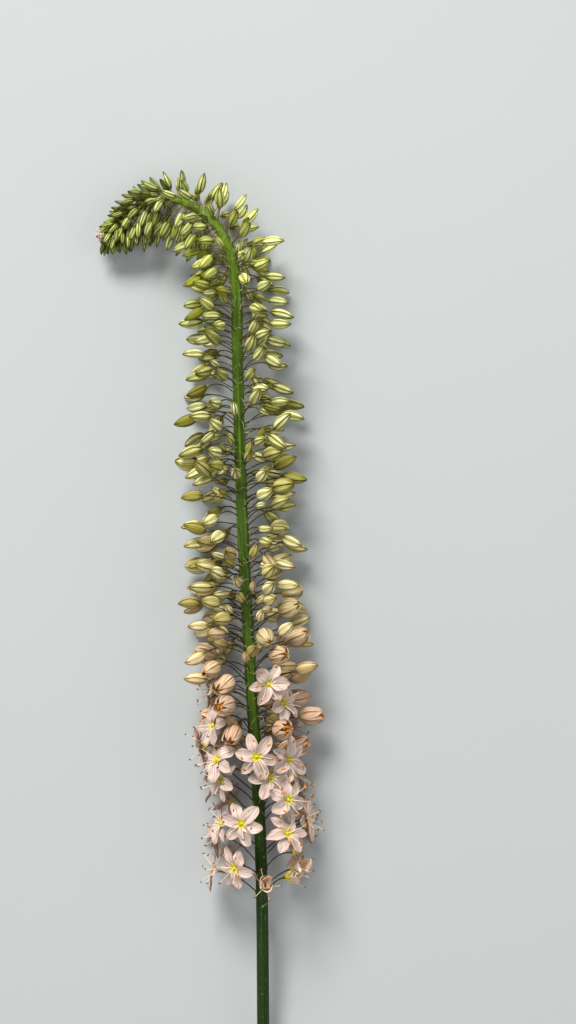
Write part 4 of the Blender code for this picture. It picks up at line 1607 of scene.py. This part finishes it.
# %% Parting tepals
PARTING_HALF_WIDTH = 0.0062
GLOBE_TAPER = (0.60, 0.66)
PARTING_TAPER = (0.60, 0.90)
MOST_WRAP = 1.02
WRAP_LAYER = 0.03
MOUTH_OPENING = 0.06
TIP_FLARE = 0.34
PARTING_REACH = (1.04, 1.20)
PARTING_SHARES = 0.02 + 0.965 * even_ends(TEPAL_RINGS)
LEAST_PARTED = 0.35
MOST_LOOSE = 1.9
LOOSE_POWER = 1.6
FLARES_FROM = 0.55
SMALLEST_GIRTH = 1e-4
EDGE_LIFT = 0.04
KEEL_LIFT, KEEL_WIDTH = 0.05, 0.16
RIPPLE_HEIGHT = 0.03
RIPPLES_ALONG, RIPPLES_ACROSS = 9, 3


def how_far_parted(bud):
    """0 for a swollen bud that is still shut, 1 for one that is about to open."""
    age = min(1.0, max(0.0, (PARTING_FROM - bud["at"]) / (PARTING_FROM - PARTING_TO)))
    low, high = OPENNESS_RANGE
    return age * (LEAST_PARTED + (1 - LEAST_PARTED) * (bud["openness"] - low) / (high - low))


def add_parting_tepal(bed, bud, k, rng):
    """A tepal on the globe of a swollen bud. Its own amount of looseness lifts its tip."""
    outer = k % 2 == 0
    shares = bed.shares
    parted = how_far_parted(bud)
    first, second = across(bud["face"])
    middle_turn = bud["twist"] + k * math.tau / TEPALS
    mouth = 1 - MOUTH_OPENING * parted
    reach = bud["length"] * rng.uniform(*PARTING_REACH)
    loose = MOST_LOOSE * rng.random() ** LOOSE_POWER
    flare = TIP_FLARE * parted * loose * later(shares, FLARES_FROM) ** 2
    girth = bud["radius"] * (girth_at(shares * mouth, GLOBE_TAPER) + flare)
    girth = girth * (1 + (WRAP_LAYER if outer else -WRAP_LAYER))
    widths = PARTING_HALF_WIDTH * girth_at(shares, PARTING_TAPER)
    wrap = np.minimum(MOST_WRAP, widths / np.maximum(girth, SMALLEST_GIRTH))
    half = bed.columns // 2
    turns = np.arange(bed.columns) * math.pi / half
    behind = np.arange(bed.columns) > half
    sideways = np.cos(turns)
    angles = middle_turn + wrap[:, None] * sideways
    full = RIM_THICKNESS + MIDDLE_THICKNESS * np.sqrt(np.abs(np.sin(turns)))
    thickness = np.where(behind, 0.0, full)
    edge = EDGE_LIFT * bud["radius"] * (1 if outer else -1) * sideways**4
    keel = KEEL_LIFT * bud["radius"] * np.exp(-(sideways / KEEL_WIDTH) ** 2) * behind
    along = shares[:, None]
    beat = rng.uniform(0, 6)
    ripple = np.sin(RIPPLES_ALONG * along + RIPPLES_ACROSS * sideways + beat)
    ripple = RIPPLE_HEIGHT * bud["radius"] * ripple * along
    radii = girth[:, None] - thickness + edge + keel + ripple
    spokes = np.cos(angles)[..., None] * first + np.sin(angles)[..., None] * second
    middles = bud["neck"] + bud["face"] * (reach * shares)[:, None]
    rings = middles[:, None] + radii[..., None] * spokes
    tip = rings[-1].mean(axis=0) + bud["face"] * TIP_REACH
    bed.add(bud["neck"], rings, tip, whim=rng.random(), height=bud["at"] / STALK_LENGTH)


bed = Bed(PARTING_SHARES, TEPAL_COLUMNS)
for bud in opening:
    for k in range(TEPALS):
        add_parting_tepal(bed, bud, k, looks)
bed.make("parting_tepals", PARTING_PETAL, [STALK_NODE])

# %% [markdown]
# ## Withered flowers
#
# The lowest flowers are over. Their tepals have dried to beige paper, rolled in at the edges and
# fallen inwards. A cloth simulation could crumple them, but the form that a tepal dries into is
# simple enough to bend directly, each tepal by its own amount.

# %% Withered tepals
FALL = (-0.0015, 0.0080)
FALLS_FROM, FALL_POWER = 0.35, 1.6
WITHERED_LENGTH = (0.80, 0.98)
SAG_STRAY = 0.0015
WIDTH_BEFORE_ROLLING = 1.12
ROLLED_IN = (0.25, 0.80)
NARROWED_BY_ROLLING = 0.25
WITHERED_WAVE = (0.0005, 0.0012)
CREASES_ALONG, CREASES_ACROSS = 15, 3


def add_withered_tepal(bed, flower, k, rng):
    """A dried tepal that has fallen inwards. The more it is rolled, the narrower it is."""
    shares = bed.shares
    ways, inwards = tepal_ways(flower, k, shares)
    fall = rng.uniform(*FALL) * later(shares, FALLS_FROM) ** FALL_POWER
    middles = flower["neck"] + ways * (shares * flower["tepal"] * rng.uniform(*WITHERED_LENGTH))[:, None]
    middles = middles + inwards * fall[:, None]
    sag = rng.gauss(0, SAG_STRAY)
    middles = middles + np.cross(ways, inwards) * (sag * shares**2)[:, None]
    widths = INNER_HALF_WIDTH * WIDTH_BEFORE_ROLLING * girth_at(shares, TEPAL_TAPER)
    roll, wave = rng.uniform(*ROLLED_IN), rng.uniform(*WITHERED_WAVE)
    beat = rng.uniform(0, math.tau)

    def lifts(sideways):
        rolled = roll * widths[:, None] * sideways**2
        creases = np.sin(shares[:, None] * CREASES_ALONG + beat + CREASES_ACROSS * sideways)
        return rolled + wave * creases * np.abs(sideways)

    narrowed = widths * (1 - NARROWED_BY_ROLLING * roll)
    add_tepal(bed, middles, ways, inwards, narrowed, lifts, rng.random())


bed = Bed(TEPAL_SHARES, TEPAL_COLUMNS)
for flower in withered:
    for k in range(TEPALS):
        add_withered_tepal(bed, flower, k, looks)
bed.make("withered_tepals", WITHERED_PETAL, FLOWER_NODES)

# %% [markdown]
# ## Stamens and pistils
#
# Six thread-like filaments stand out almost as far as the tepals, yellow and thick at the foot and
# nearly white above, and each carries an orange anther that sits across its end. In the middle is a
# small green-yellow ovary with one long style. A parting bud shows only its anthers, in its mouth.
# Hair curves could draw the threads, but only real tubes come along when the model is exported, so
# they are slim copies of the same tube as everything else. Foot and tip differ in colour, not in
# piece, because the colour can follow the map along the tube.

# %% Finishes of the flower's centre
FILAMENT_FOOT, FILAMENT_TIP = paint(206, 190, 10), paint(222, 208, 176)
FRESH_ANTHER, OLD_ANTHER = paint(198, 118, 18), paint(128, 82, 40)
OVARY_FURROW, OVARY_LOBE, STYLE = paint(160, 164, 20), paint(204, 190, 24), paint(222, 210, 176)
FILAMENT_SPECKLE, OVARY_SPECKLE = 2500.0, 1800.0
CENTRE_LIGHT, SPECKLE_LIGHT = 0.85, 0.3
FILAMENT_EDGE = (0.27, 0.38)
OLD_ANTHER_EDGE, ANTHER_END_EDGE = (0.25, 0.75), (0.36, 0.5)
POLLEN_SCALE, POLLEN_DEPTH, POLLEN_EDGE = 5200.0, 0.0002, (0.5, 0.7)
LIT_POLLEN, DARK_END = 1.5, 0.6
OVARY_LOBES = 3
LOBE_EDGE, STYLE_EDGE = (0.05, 0.35), (0.30, 0.45)


def filament_finish():
    """Yellow at the thick foot, nearly white above."""
    finish = Finish("filament", Roughness=0.5, Specular_IOR_Level=0.2)
    _, along = finish.map_places()
    speckle = finish.grain(FILAMENT_SPECKLE, detail=1.0)
    colour = finish.blend(FILAMENT_FOOT, FILAMENT_TIP, finish.step(along, *FILAMENT_EDGE))
    return finish.use(finish.lit(colour, CENTRE_LIGHT + SPECKLE_LIGHT * speckle))


def anther_finish():
    """Orange with grains of pollen, browner with age. Here the whim mark holds the age."""
    finish = Finish("anther", Roughness=0.8, Specular_IOR_Level=0.2)
    _, along = finish.map_places()
    whim = finish.mark("whim")
    pollen = finish.grain(POLLEN_SCALE, detail=2.0)
    colour = finish.blend(FRESH_ANTHER, OLD_ANTHER, finish.step(whim, *OLD_ANTHER_EDGE))
    colour = finish.blend(colour, finish.lit(colour, LIT_POLLEN), finish.step(pollen, *POLLEN_EDGE))
    ends = finish.step(abs(along - 0.5), *ANTHER_END_EDGE)
    colour = finish.blend(colour, finish.lit(colour, DARK_END), ends)
    finish.raised(pollen, POLLEN_DEPTH)
    return finish.use(colour)


def ovary_finish():
    """Green furrows between yellow lobes, and a pale style above them."""
    finish = Finish("ovary", Roughness=0.45, Specular_IOR_Level=0.25)
    turn, along = finish.map_places()
    lobes = (turn * OVARY_LOBES).folded(0.5)
    colour = finish.blend(OVARY_FURROW, OVARY_LOBE, finish.step(lobes, *LOBE_EDGE))
    colour = finish.blend(colour, STYLE, finish.step(along, *STYLE_EDGE))
    speckle = finish.grain(OVARY_SPECKLE, detail=2.0)
    return finish.use(finish.lit(colour, CENTRE_LIGHT + SPECKLE_LIGHT * speckle))


FILAMENT, ANTHER, OVARY = filament_finish(), anther_finish(), ovary_finish()
print("finishes of the centre:", FILAMENT.name, ANTHER.name, OVARY.name)

# %% Anthers
ANTHER_LENGTH = (0.0038, 0.0052)
ANTHER_RADIUS = 0.00085
ANTHER_SHRINKAGE = 0.38
ANTHER_SLANT = 0.35
UPRIGHT_SLANT = 2.5
ANTHER_LOBES = 0.18


def add_anther(bed, middle, way, upright, age, rng):
    """An anther that lies across its filament, or in line with it where upright is 1."""
    first, second = across(way)
    turn = rng.uniform(0, math.tau)
    slant = ANTHER_SLANT + UPRIGHT_SLANT * upright
    axis = unit(math.cos(turn) * first + math.sin(turn) * second + slant * way)
    shrivelled = 1 - ANTHER_SHRINKAGE * age
    length = rng.uniform(*ANTHER_LENGTH) * shrivelled
    start = middle - axis * length / 2
    radii = ANTHER_RADIUS * shrivelled * np.sqrt(np.sin(math.pi * bed.shares))
    turns = np.arange(bed.columns) * math.tau / bed.columns
    lobed = radii[:, None] * (1 + ANTHER_LOBES * np.cos(2 * turns))
    middles = start + axis * (length * bed.shares)[:, None]
    ways = np.repeat(axis[None], len(bed.shares), axis=0)
    rings = round_rings(middles, ways, lobed, bed.columns, across(axis)[0])
    bed.add(start, rings, start + axis * length, whim=age)


print("a fresh anther is", 1000 * ANTHER_LENGTH[0], "to", 1000 * ANTHER_LENGTH[1], "mm long")

# %% Stamens
FILAMENT_SHARES = (0.03, 0.10, 0.18, 0.26, 0.36, 0.46, 0.56, 0.66, 0.76, 0.86, 0.97)
FILAMENT_RADII = [(0.0, 0.00090), (0.22, 0.00095), (0.33, 0.00030), (1.0, 0.00018)]
FILAMENT_LENGTH = (0.0165, 0.0205)
FILAMENT_TURN_STRAY = 0.12
FILAMENT_LEAN = 0.70
FILAMENT_RISE, FILAMENT_RISE_STRAY = 0.70, 0.35
FILAMENT_RING_RADIUS = 0.0008
AGE_SPREAD = 0.3


def add_stamens(filaments, anthers, flower, reach, youngest, rng):
    """Six filaments with their anthers. Reach is how far they lean out at their tips."""
    first, second = across(flower["face"])
    age = rng.uniform(youngest, 1.0)
    for k in range(TEPALS):
        turn = flower["twist"] + (k + rng.gauss(0, FILAMENT_TURN_STRAY)) * math.tau / TEPALS
        radial = math.cos(turn) * first + math.sin(turn) * second
        leave = unit(flower["face"] + FILAMENT_LEAN * radial)
        rise = FILAMENT_RISE + rng.gauss(0, FILAMENT_RISE_STRAY)
        arrive = unit(flower["face"] * rise + radial * reach)
        length = rng.uniform(*FILAMENT_LENGTH)
        start = flower["neck"] + radial * FILAMENT_RING_RADIUS
        shares = filaments.shares[:, None]
        middles = bent(start, leave, arrive, length, shares)
        ways = leave * (1 - shares) + arrive * shares
        radii = np.array([profile(FILAMENT_RADII, share) for share in filaments.shares])
        end = bent(start, leave, arrive, length, 1.0)
        end[2] = max(end[2], 2 * ANTHER_RADIUS)
        reference = unit(np.cross(radial, flower["face"]))
        filaments.add(start, round_rings(middles, ways, radii, filaments.columns, reference), end)
        add_anther(anthers, end, arrive, 0.0, min(1.0, age + AGE_SPREAD * rng.random()), rng)


print("a filament is", 1000 * FILAMENT_LENGTH[0], "to", 1000 * FILAMENT_LENGTH[1], "mm long")

# %% Pistils
PISTIL_SHARES = (0.04, 0.09, 0.14, 0.19, 0.24, 0.29, 0.34, 0.40, 0.55, 0.70, 0.85, 0.97)
PISTIL_RADII = [
    (0.0, 0.0008),
    (0.08, 0.0016),
    (0.18, 0.0019),
    (0.28, 0.0014),
    (0.34, 0.00045),
    (0.40, 0.00024),
    (0.97, 0.00018),
]
PISTIL_LENGTH = 0.0115
PISTIL_FOOT = 0.0006
PISTIL_STRAY = 0.35
OVARY_LOBE_HEIGHT = 0.14


def add_pistil(bed, flower, rng):
    """A three-lobed ovary that runs out into a bent style."""
    first, second = across(flower["face"])
    start = flower["neck"] + flower["face"] * PISTIL_FOOT
    stray = rng.gauss(0, PISTIL_STRAY) * first + rng.gauss(0, PISTIL_STRAY) * second
    arrive = unit(flower["face"] + stray)
    shares = bed.shares[:, None]
    middles = bent(start, flower["face"], arrive, PISTIL_LENGTH, shares)
    ways = flower["face"] * (1 - shares) + arrive * shares
    turns = np.arange(bed.columns) * math.tau / bed.columns
    lobes = 1 + OVARY_LOBE_HEIGHT * np.cos(OVARY_LOBES * turns)
    radii = np.array([profile(PISTIL_RADII, share) for share in bed.shares])[:, None] * lobes
    end = bent(start, flower["face"], arrive, PISTIL_LENGTH, 1.0)
    bed.add(start, round_rings(middles, ways, radii, bed.columns, first), end)


print("a pistil is", 1000 * PISTIL_LENGTH, "mm long, and its ovary has", OVARY_LOBES, "lobes")

# %% Anthers in the mouth of a parting bud
SHOWS_ANTHERS_FROM = 0.15
MOUTH_HEIGHT = (0.84, 0.94)
MOUTH_RISE = 0.12
MOUTH_REACH = (0.14, 0.24)
MOUTH_SPREAD = 0.30
MOUTH_UPRIGHT = (0.2, 1.0)
YOUNG_ANTHER_AGE = 0.1


def add_mouth_anthers(anthers, bud, rng):
    """A ring of upright anthers, which stands wider and higher the further the bud has parted."""
    first, second = across(bud["face"])
    parted = how_far_parted(bud)
    if parted <= SHOWS_ANTHERS_FROM:
        return
    for k in range(TEPALS):
        turn = bud["twist"] + (k + 0.5) * math.tau / TEPALS
        radial = math.cos(turn) * first + math.sin(turn) * second
        height = rng.uniform(MOUTH_HEIGHT[0], MOUTH_HEIGHT[1] + MOUTH_RISE * parted)
        reach = rng.uniform(MOUTH_REACH[0], MOUTH_REACH[1] + MOUTH_SPREAD * parted)
        middle = bud["neck"] + bud["face"] * bud["length"] * height + radial * (bud["radius"] * reach)
        upright = rng.uniform(*MOUTH_UPRIGHT)
        add_anther(anthers, middle, bud["face"], upright, YOUNG_ANTHER_AGE, rng)


parted = [bud for bud in opening if how_far_parted(bud) > SHOWS_ANTHERS_FROM]
print(len(parted), "of", len(opening), "parting buds show their anthers")

# %% Filaments, anthers and pistils
FILAMENT_COLUMNS, FILAMENT_CELL_SLIMNESS = 6, 4.0
ANTHER_RINGS, ANTHER_COLUMNS, ANTHER_CELL_SLIMNESS = 7, 10, 0.8
PISTIL_COLUMNS, PISTIL_CELL_SLIMNESS = 12, 2.0
OPEN_REACH, WITHERED_REACH = 1.15, 0.35
OPEN_YOUNGEST, WITHERED_YOUNGEST = 0.0, 0.7

filaments = Bed(FILAMENT_SHARES, FILAMENT_COLUMNS, FILAMENT_CELL_SLIMNESS)
anthers = Bed(even_ends(ANTHER_RINGS), ANTHER_COLUMNS, ANTHER_CELL_SLIMNESS)
pistils = Bed(PISTIL_SHARES, PISTIL_COLUMNS, PISTIL_CELL_SLIMNESS)
for flower in flowers:
    add_stamens(filaments, anthers, flower, OPEN_REACH, OPEN_YOUNGEST, looks)
    add_pistil(pistils, flower, looks)
for flower in withered:
    add_stamens(filaments, anthers, flower, WITHERED_REACH, WITHERED_YOUNGEST, looks)
for bud in opening:
    add_mouth_anthers(anthers, bud, looks)
filaments.make("filaments", FILAMENT, FLOWER_NODES)
anthers.make("anthers", ANTHER, FLOWER_NODES)
pistils.make("pistils", OVARY, FLOWER_NODES)

# %% [markdown]
# ## Bracts
#
# Under every floret grows a bract that dries to a pale, curly thread. They lie along the stalk and
# stand off it like stray hairs. In the dense head they are hidden, so none are made there. At the
# very tip, where no floret has grown out yet, they make a small pinkish tuft. Hand-drawn curves
# would be too regular, so each is a slim tube whose direction turns a little with every step, as a
# drying thread curls.

# %% Bract finish
BRACT_FOOT, BRACT_TIP, TUFT_COLOUR = paint(150, 150, 88), paint(206, 200, 160), paint(216, 196, 184)
BRACT_FOOT_EDGE, TUFT_EDGE = (0.0, 0.3), (0.965, 0.985)
DRY_SCALE = 500.0
BRACT_LIGHT, DRY_LIGHT = 0.8, 0.4


def bract_finish():
    """Dry and pale, green only at the foot, and pinkish in the tuft at the tip."""
    finish = Finish("bract", Roughness=0.6)
    _, along = finish.map_places()
    dry = finish.grain(DRY_SCALE, detail=2.0)
    colour = finish.blend(BRACT_FOOT, BRACT_TIP, finish.step(along, *BRACT_FOOT_EDGE))
    colour = finish.blend(colour, TUFT_COLOUR, finish.step(finish.mark("height"), *TUFT_EDGE))
    return finish.use(finish.lit(colour, BRACT_LIGHT + DRY_LIGHT * dry))


BRACT = bract_finish()
print("the bracts' finish takes", len(BRACT.node_tree.nodes), "nodes")

# %% Bract threads
BRACT_RINGS, BRACT_COLUMNS = 11, 4
BRACT_CELL_SLIMNESS = 6.0
BRACT_TAPER = 0.60
AXIS_STRAY = 0.25


def add_bract(bed, start, way, length, curl, radius, height, rng):
    """A thread that starts one way and curls about a slowly turning axis."""
    axis = unit(np.array([rng.gauss(0, 1) for _ in range(3)]))
    points, ways = [], []
    place, step = np.array(start), length / len(bed.shares)
    for _ in bed.shares:
        points.append(place)
        ways.append(way)
        place = place + way * step
        way = unit(way + np.cross(axis, way) * curl)
        axis = unit(axis + AXIS_STRAY * np.array([rng.gauss(0, 1) for _ in range(3)]))
    radii = radius * (1 - BRACT_TAPER * bed.shares)
    turns = np.arange(bed.columns) * math.tau / bed.columns
    rings = []
    for point, direction, size in zip(points, ways, radii):
        first, second = across(direction)
        rings.append([point + size * (math.cos(t) * first + math.sin(t) * second) for t in turns])
    bed.add(start, rings, place, height=height / STALK_LENGTH)


print("a bract is", BRACT_RINGS, "rings of", BRACT_COLUMNS, "points")

# %% Bracts
BRACTS_TO = 0.93
BRACTS_LIE_FROM = 0.78
LYING, STANDING = 1.4, (-0.4, 1.0)
BRACT_OUTWARDS = (0.3, 1.0)
BRACT_LENGTH = (0.007, 0.016)
BRACT_RADIUS = 0.00017
BRACT_CURL = (0.15, 0.45)
BELOW_THE_ROOT, UNDER_THE_SKIN = 0.0012, 0.0003

bed = Bed(even_ends(BRACT_RINGS), BRACT_COLUMNS, BRACT_CELL_SLIMNESS)
for floret in stalked:
    if floret["at"] > BRACTS_TO:
        continue
    _, along, up, side = stalk_frame(floret["at"])
    upright = LYING if floret["at"] > BRACTS_LIE_FROM else looks.uniform(*STANDING)
    way = unit(along * upright + floret["out"] * looks.uniform(*BRACT_OUTWARDS))
    length = looks.uniform(*BRACT_LENGTH)
    start = floret["root"] - along * BELOW_THE_ROOT - floret["out"] * UNDER_THE_SKIN
    curl = looks.uniform(*BRACT_CURL)
    add_bract(bed, start, way, length, curl, BRACT_RADIUS, floret["at"], looks)
bed.make("bracts", BRACT, [STALK_NODE])

# %% The tuft at the tip
TUFT_BRACTS = 150
TUFT_LENGTH = (0.004, 0.0085)
TUFT_RADIUS = 0.00055
TUFT_SPREAD = 0.0042
TUFT_START = (0.0070, 0.0105)
TUFT_DOME = 0.003
TUFT_OUTWARDS = (0.2, 1.6)
TUFT_CURL = (0.05, 0.40)

bed = Bed(even_ends(BRACT_RINGS), BRACT_COLUMNS, BRACT_CELL_SLIMNESS)
tip, along, up, side = stalk_frame(STALK_LENGTH)
for _ in range(TUFT_BRACTS):
    turn, spread = looks.uniform(0, math.tau), looks.uniform(0, 1) ** 0.5
    out = math.cos(turn) * up + math.sin(turn) * side
    forward = looks.uniform(*TUFT_START) - TUFT_DOME * spread
    start = tip + out * spread * TUFT_SPREAD + along * forward
    way = unit(along + out * spread * looks.uniform(*TUFT_OUTWARDS))
    curl, length = looks.uniform(*TUFT_CURL), looks.uniform(*TUFT_LENGTH)
    add_bract(bed, start, way, length, curl, TUFT_RADIUS, STALK_LENGTH, looks)
bed.make("tip_tuft", BRACT, [STALK_NODE])

# %% [markdown]
# ## The surface
#
# A plain pale surface lets the fine outline read. It could be curved up into a backdrop, but the
# camera looks straight down, so one large square is enough. Faint clouds of noise keep its grey from
# looking printed.

# %% Surface
FLOOR_SIZE = 5.6
FLOOR_DROP = 0.0002
FLOOR_COLOUR = paint(166, 170, 170)
CLOUD_SCALE = 2.2
FLOOR_LIGHT, CLOUD_LIGHT = 0.97, 0.06


def make_floor():
    """One large square, just below everything that rests on it."""
    reach = FLOOR_SIZE / 2
    corners = [(x * reach, y * reach, -FLOOR_DROP) for x, y in ((-1, -1), (1, -1), (1, 1), (-1, 1))]
    mesh = bpy.data.meshes.new("floor")
    mesh.from_pydata(corners, [], [(0, 1, 2, 3)])
    finish = Finish("floor_paint", Roughness=0.85)
    cloud = finish.grain(CLOUD_SCALE, detail=3.0)
    mesh.materials.append(finish.use(finish.lit(FLOOR_COLOUR, FLOOR_LIGHT + CLOUD_LIGHT * cloud)))
    floor = bpy.data.objects.new("floor", mesh)
    bpy.context.scene.collection.objects.link(floor)


make_floor()
print("the surface is", FLOOR_SIZE, "m wide")

# %% [markdown]
# ## The light
#
# The light is that of a bright room with big windows: a broad soft lamp beyond the head of the spike
# and a little to its left, two weak ones from the sides, and a pale surrounding. A picture of a room
# could light it too, but lamps of a few words each can be changed one at a time. The broad lamp
# stands upright like a window. Aimed down at the spike, it would burn out the surface right below
# it, which shows from the cut end.

# %% Light
from mathutils import Vector

MIDDLE = (0.0, 0.15, 0.0)
LAMPS = (
    ("window_lamp", (-0.95, 2.90, 2.70), (0.0, 0.15, 2.70), 1.9, 323.0, (1.0, 0.985, 0.96)),
    ("side_lamp", (1.7, 0.2, 1.5), MIDDLE, 1.6, 9.0, (0.97, 0.98, 1.0)),
    ("front_lamp", (-0.9, -0.6, 2.3), MIDDLE, 1.8, 14.0, (1.0, 1.0, 1.0)),
)
SURROUNDING = (0.98, 0.99, 1.0, 1.0)
SURROUNDING_STRENGTH = 0.42


def make_lamp(name, place, aim, size, power, colour):
    """A round soft lamp that looks at a point."""
    data = bpy.data.lights.new(name, "AREA")
    data.shape = "DISK"
    data.size = size
    data.energy = power
    data.color = colour
    lamp = bpy.data.objects.new(name, data)
    lamp.location = place
    lamp.rotation_mode = "QUATERNION"
    lamp.rotation_quaternion = (Vector(aim) - Vector(place)).to_track_quat("-Z", "Y")
    bpy.context.scene.collection.objects.link(lamp)


for lamp in LAMPS:
    make_lamp(*lamp)
world = bpy.data.worlds.new("room")
world.use_nodes = True
world.node_tree.nodes["Background"].inputs[0].default_value = SURROUNDING
world.node_tree.nodes["Background"].inputs[1].default_value = SURROUNDING_STRENGTH
bpy.context.scene.world = world
bpy.context.scene.view_settings.view_transform = "Standard"
print("the lamps are", ", ".join(lamp[0] for lamp in LAMPS))

# %% [markdown]
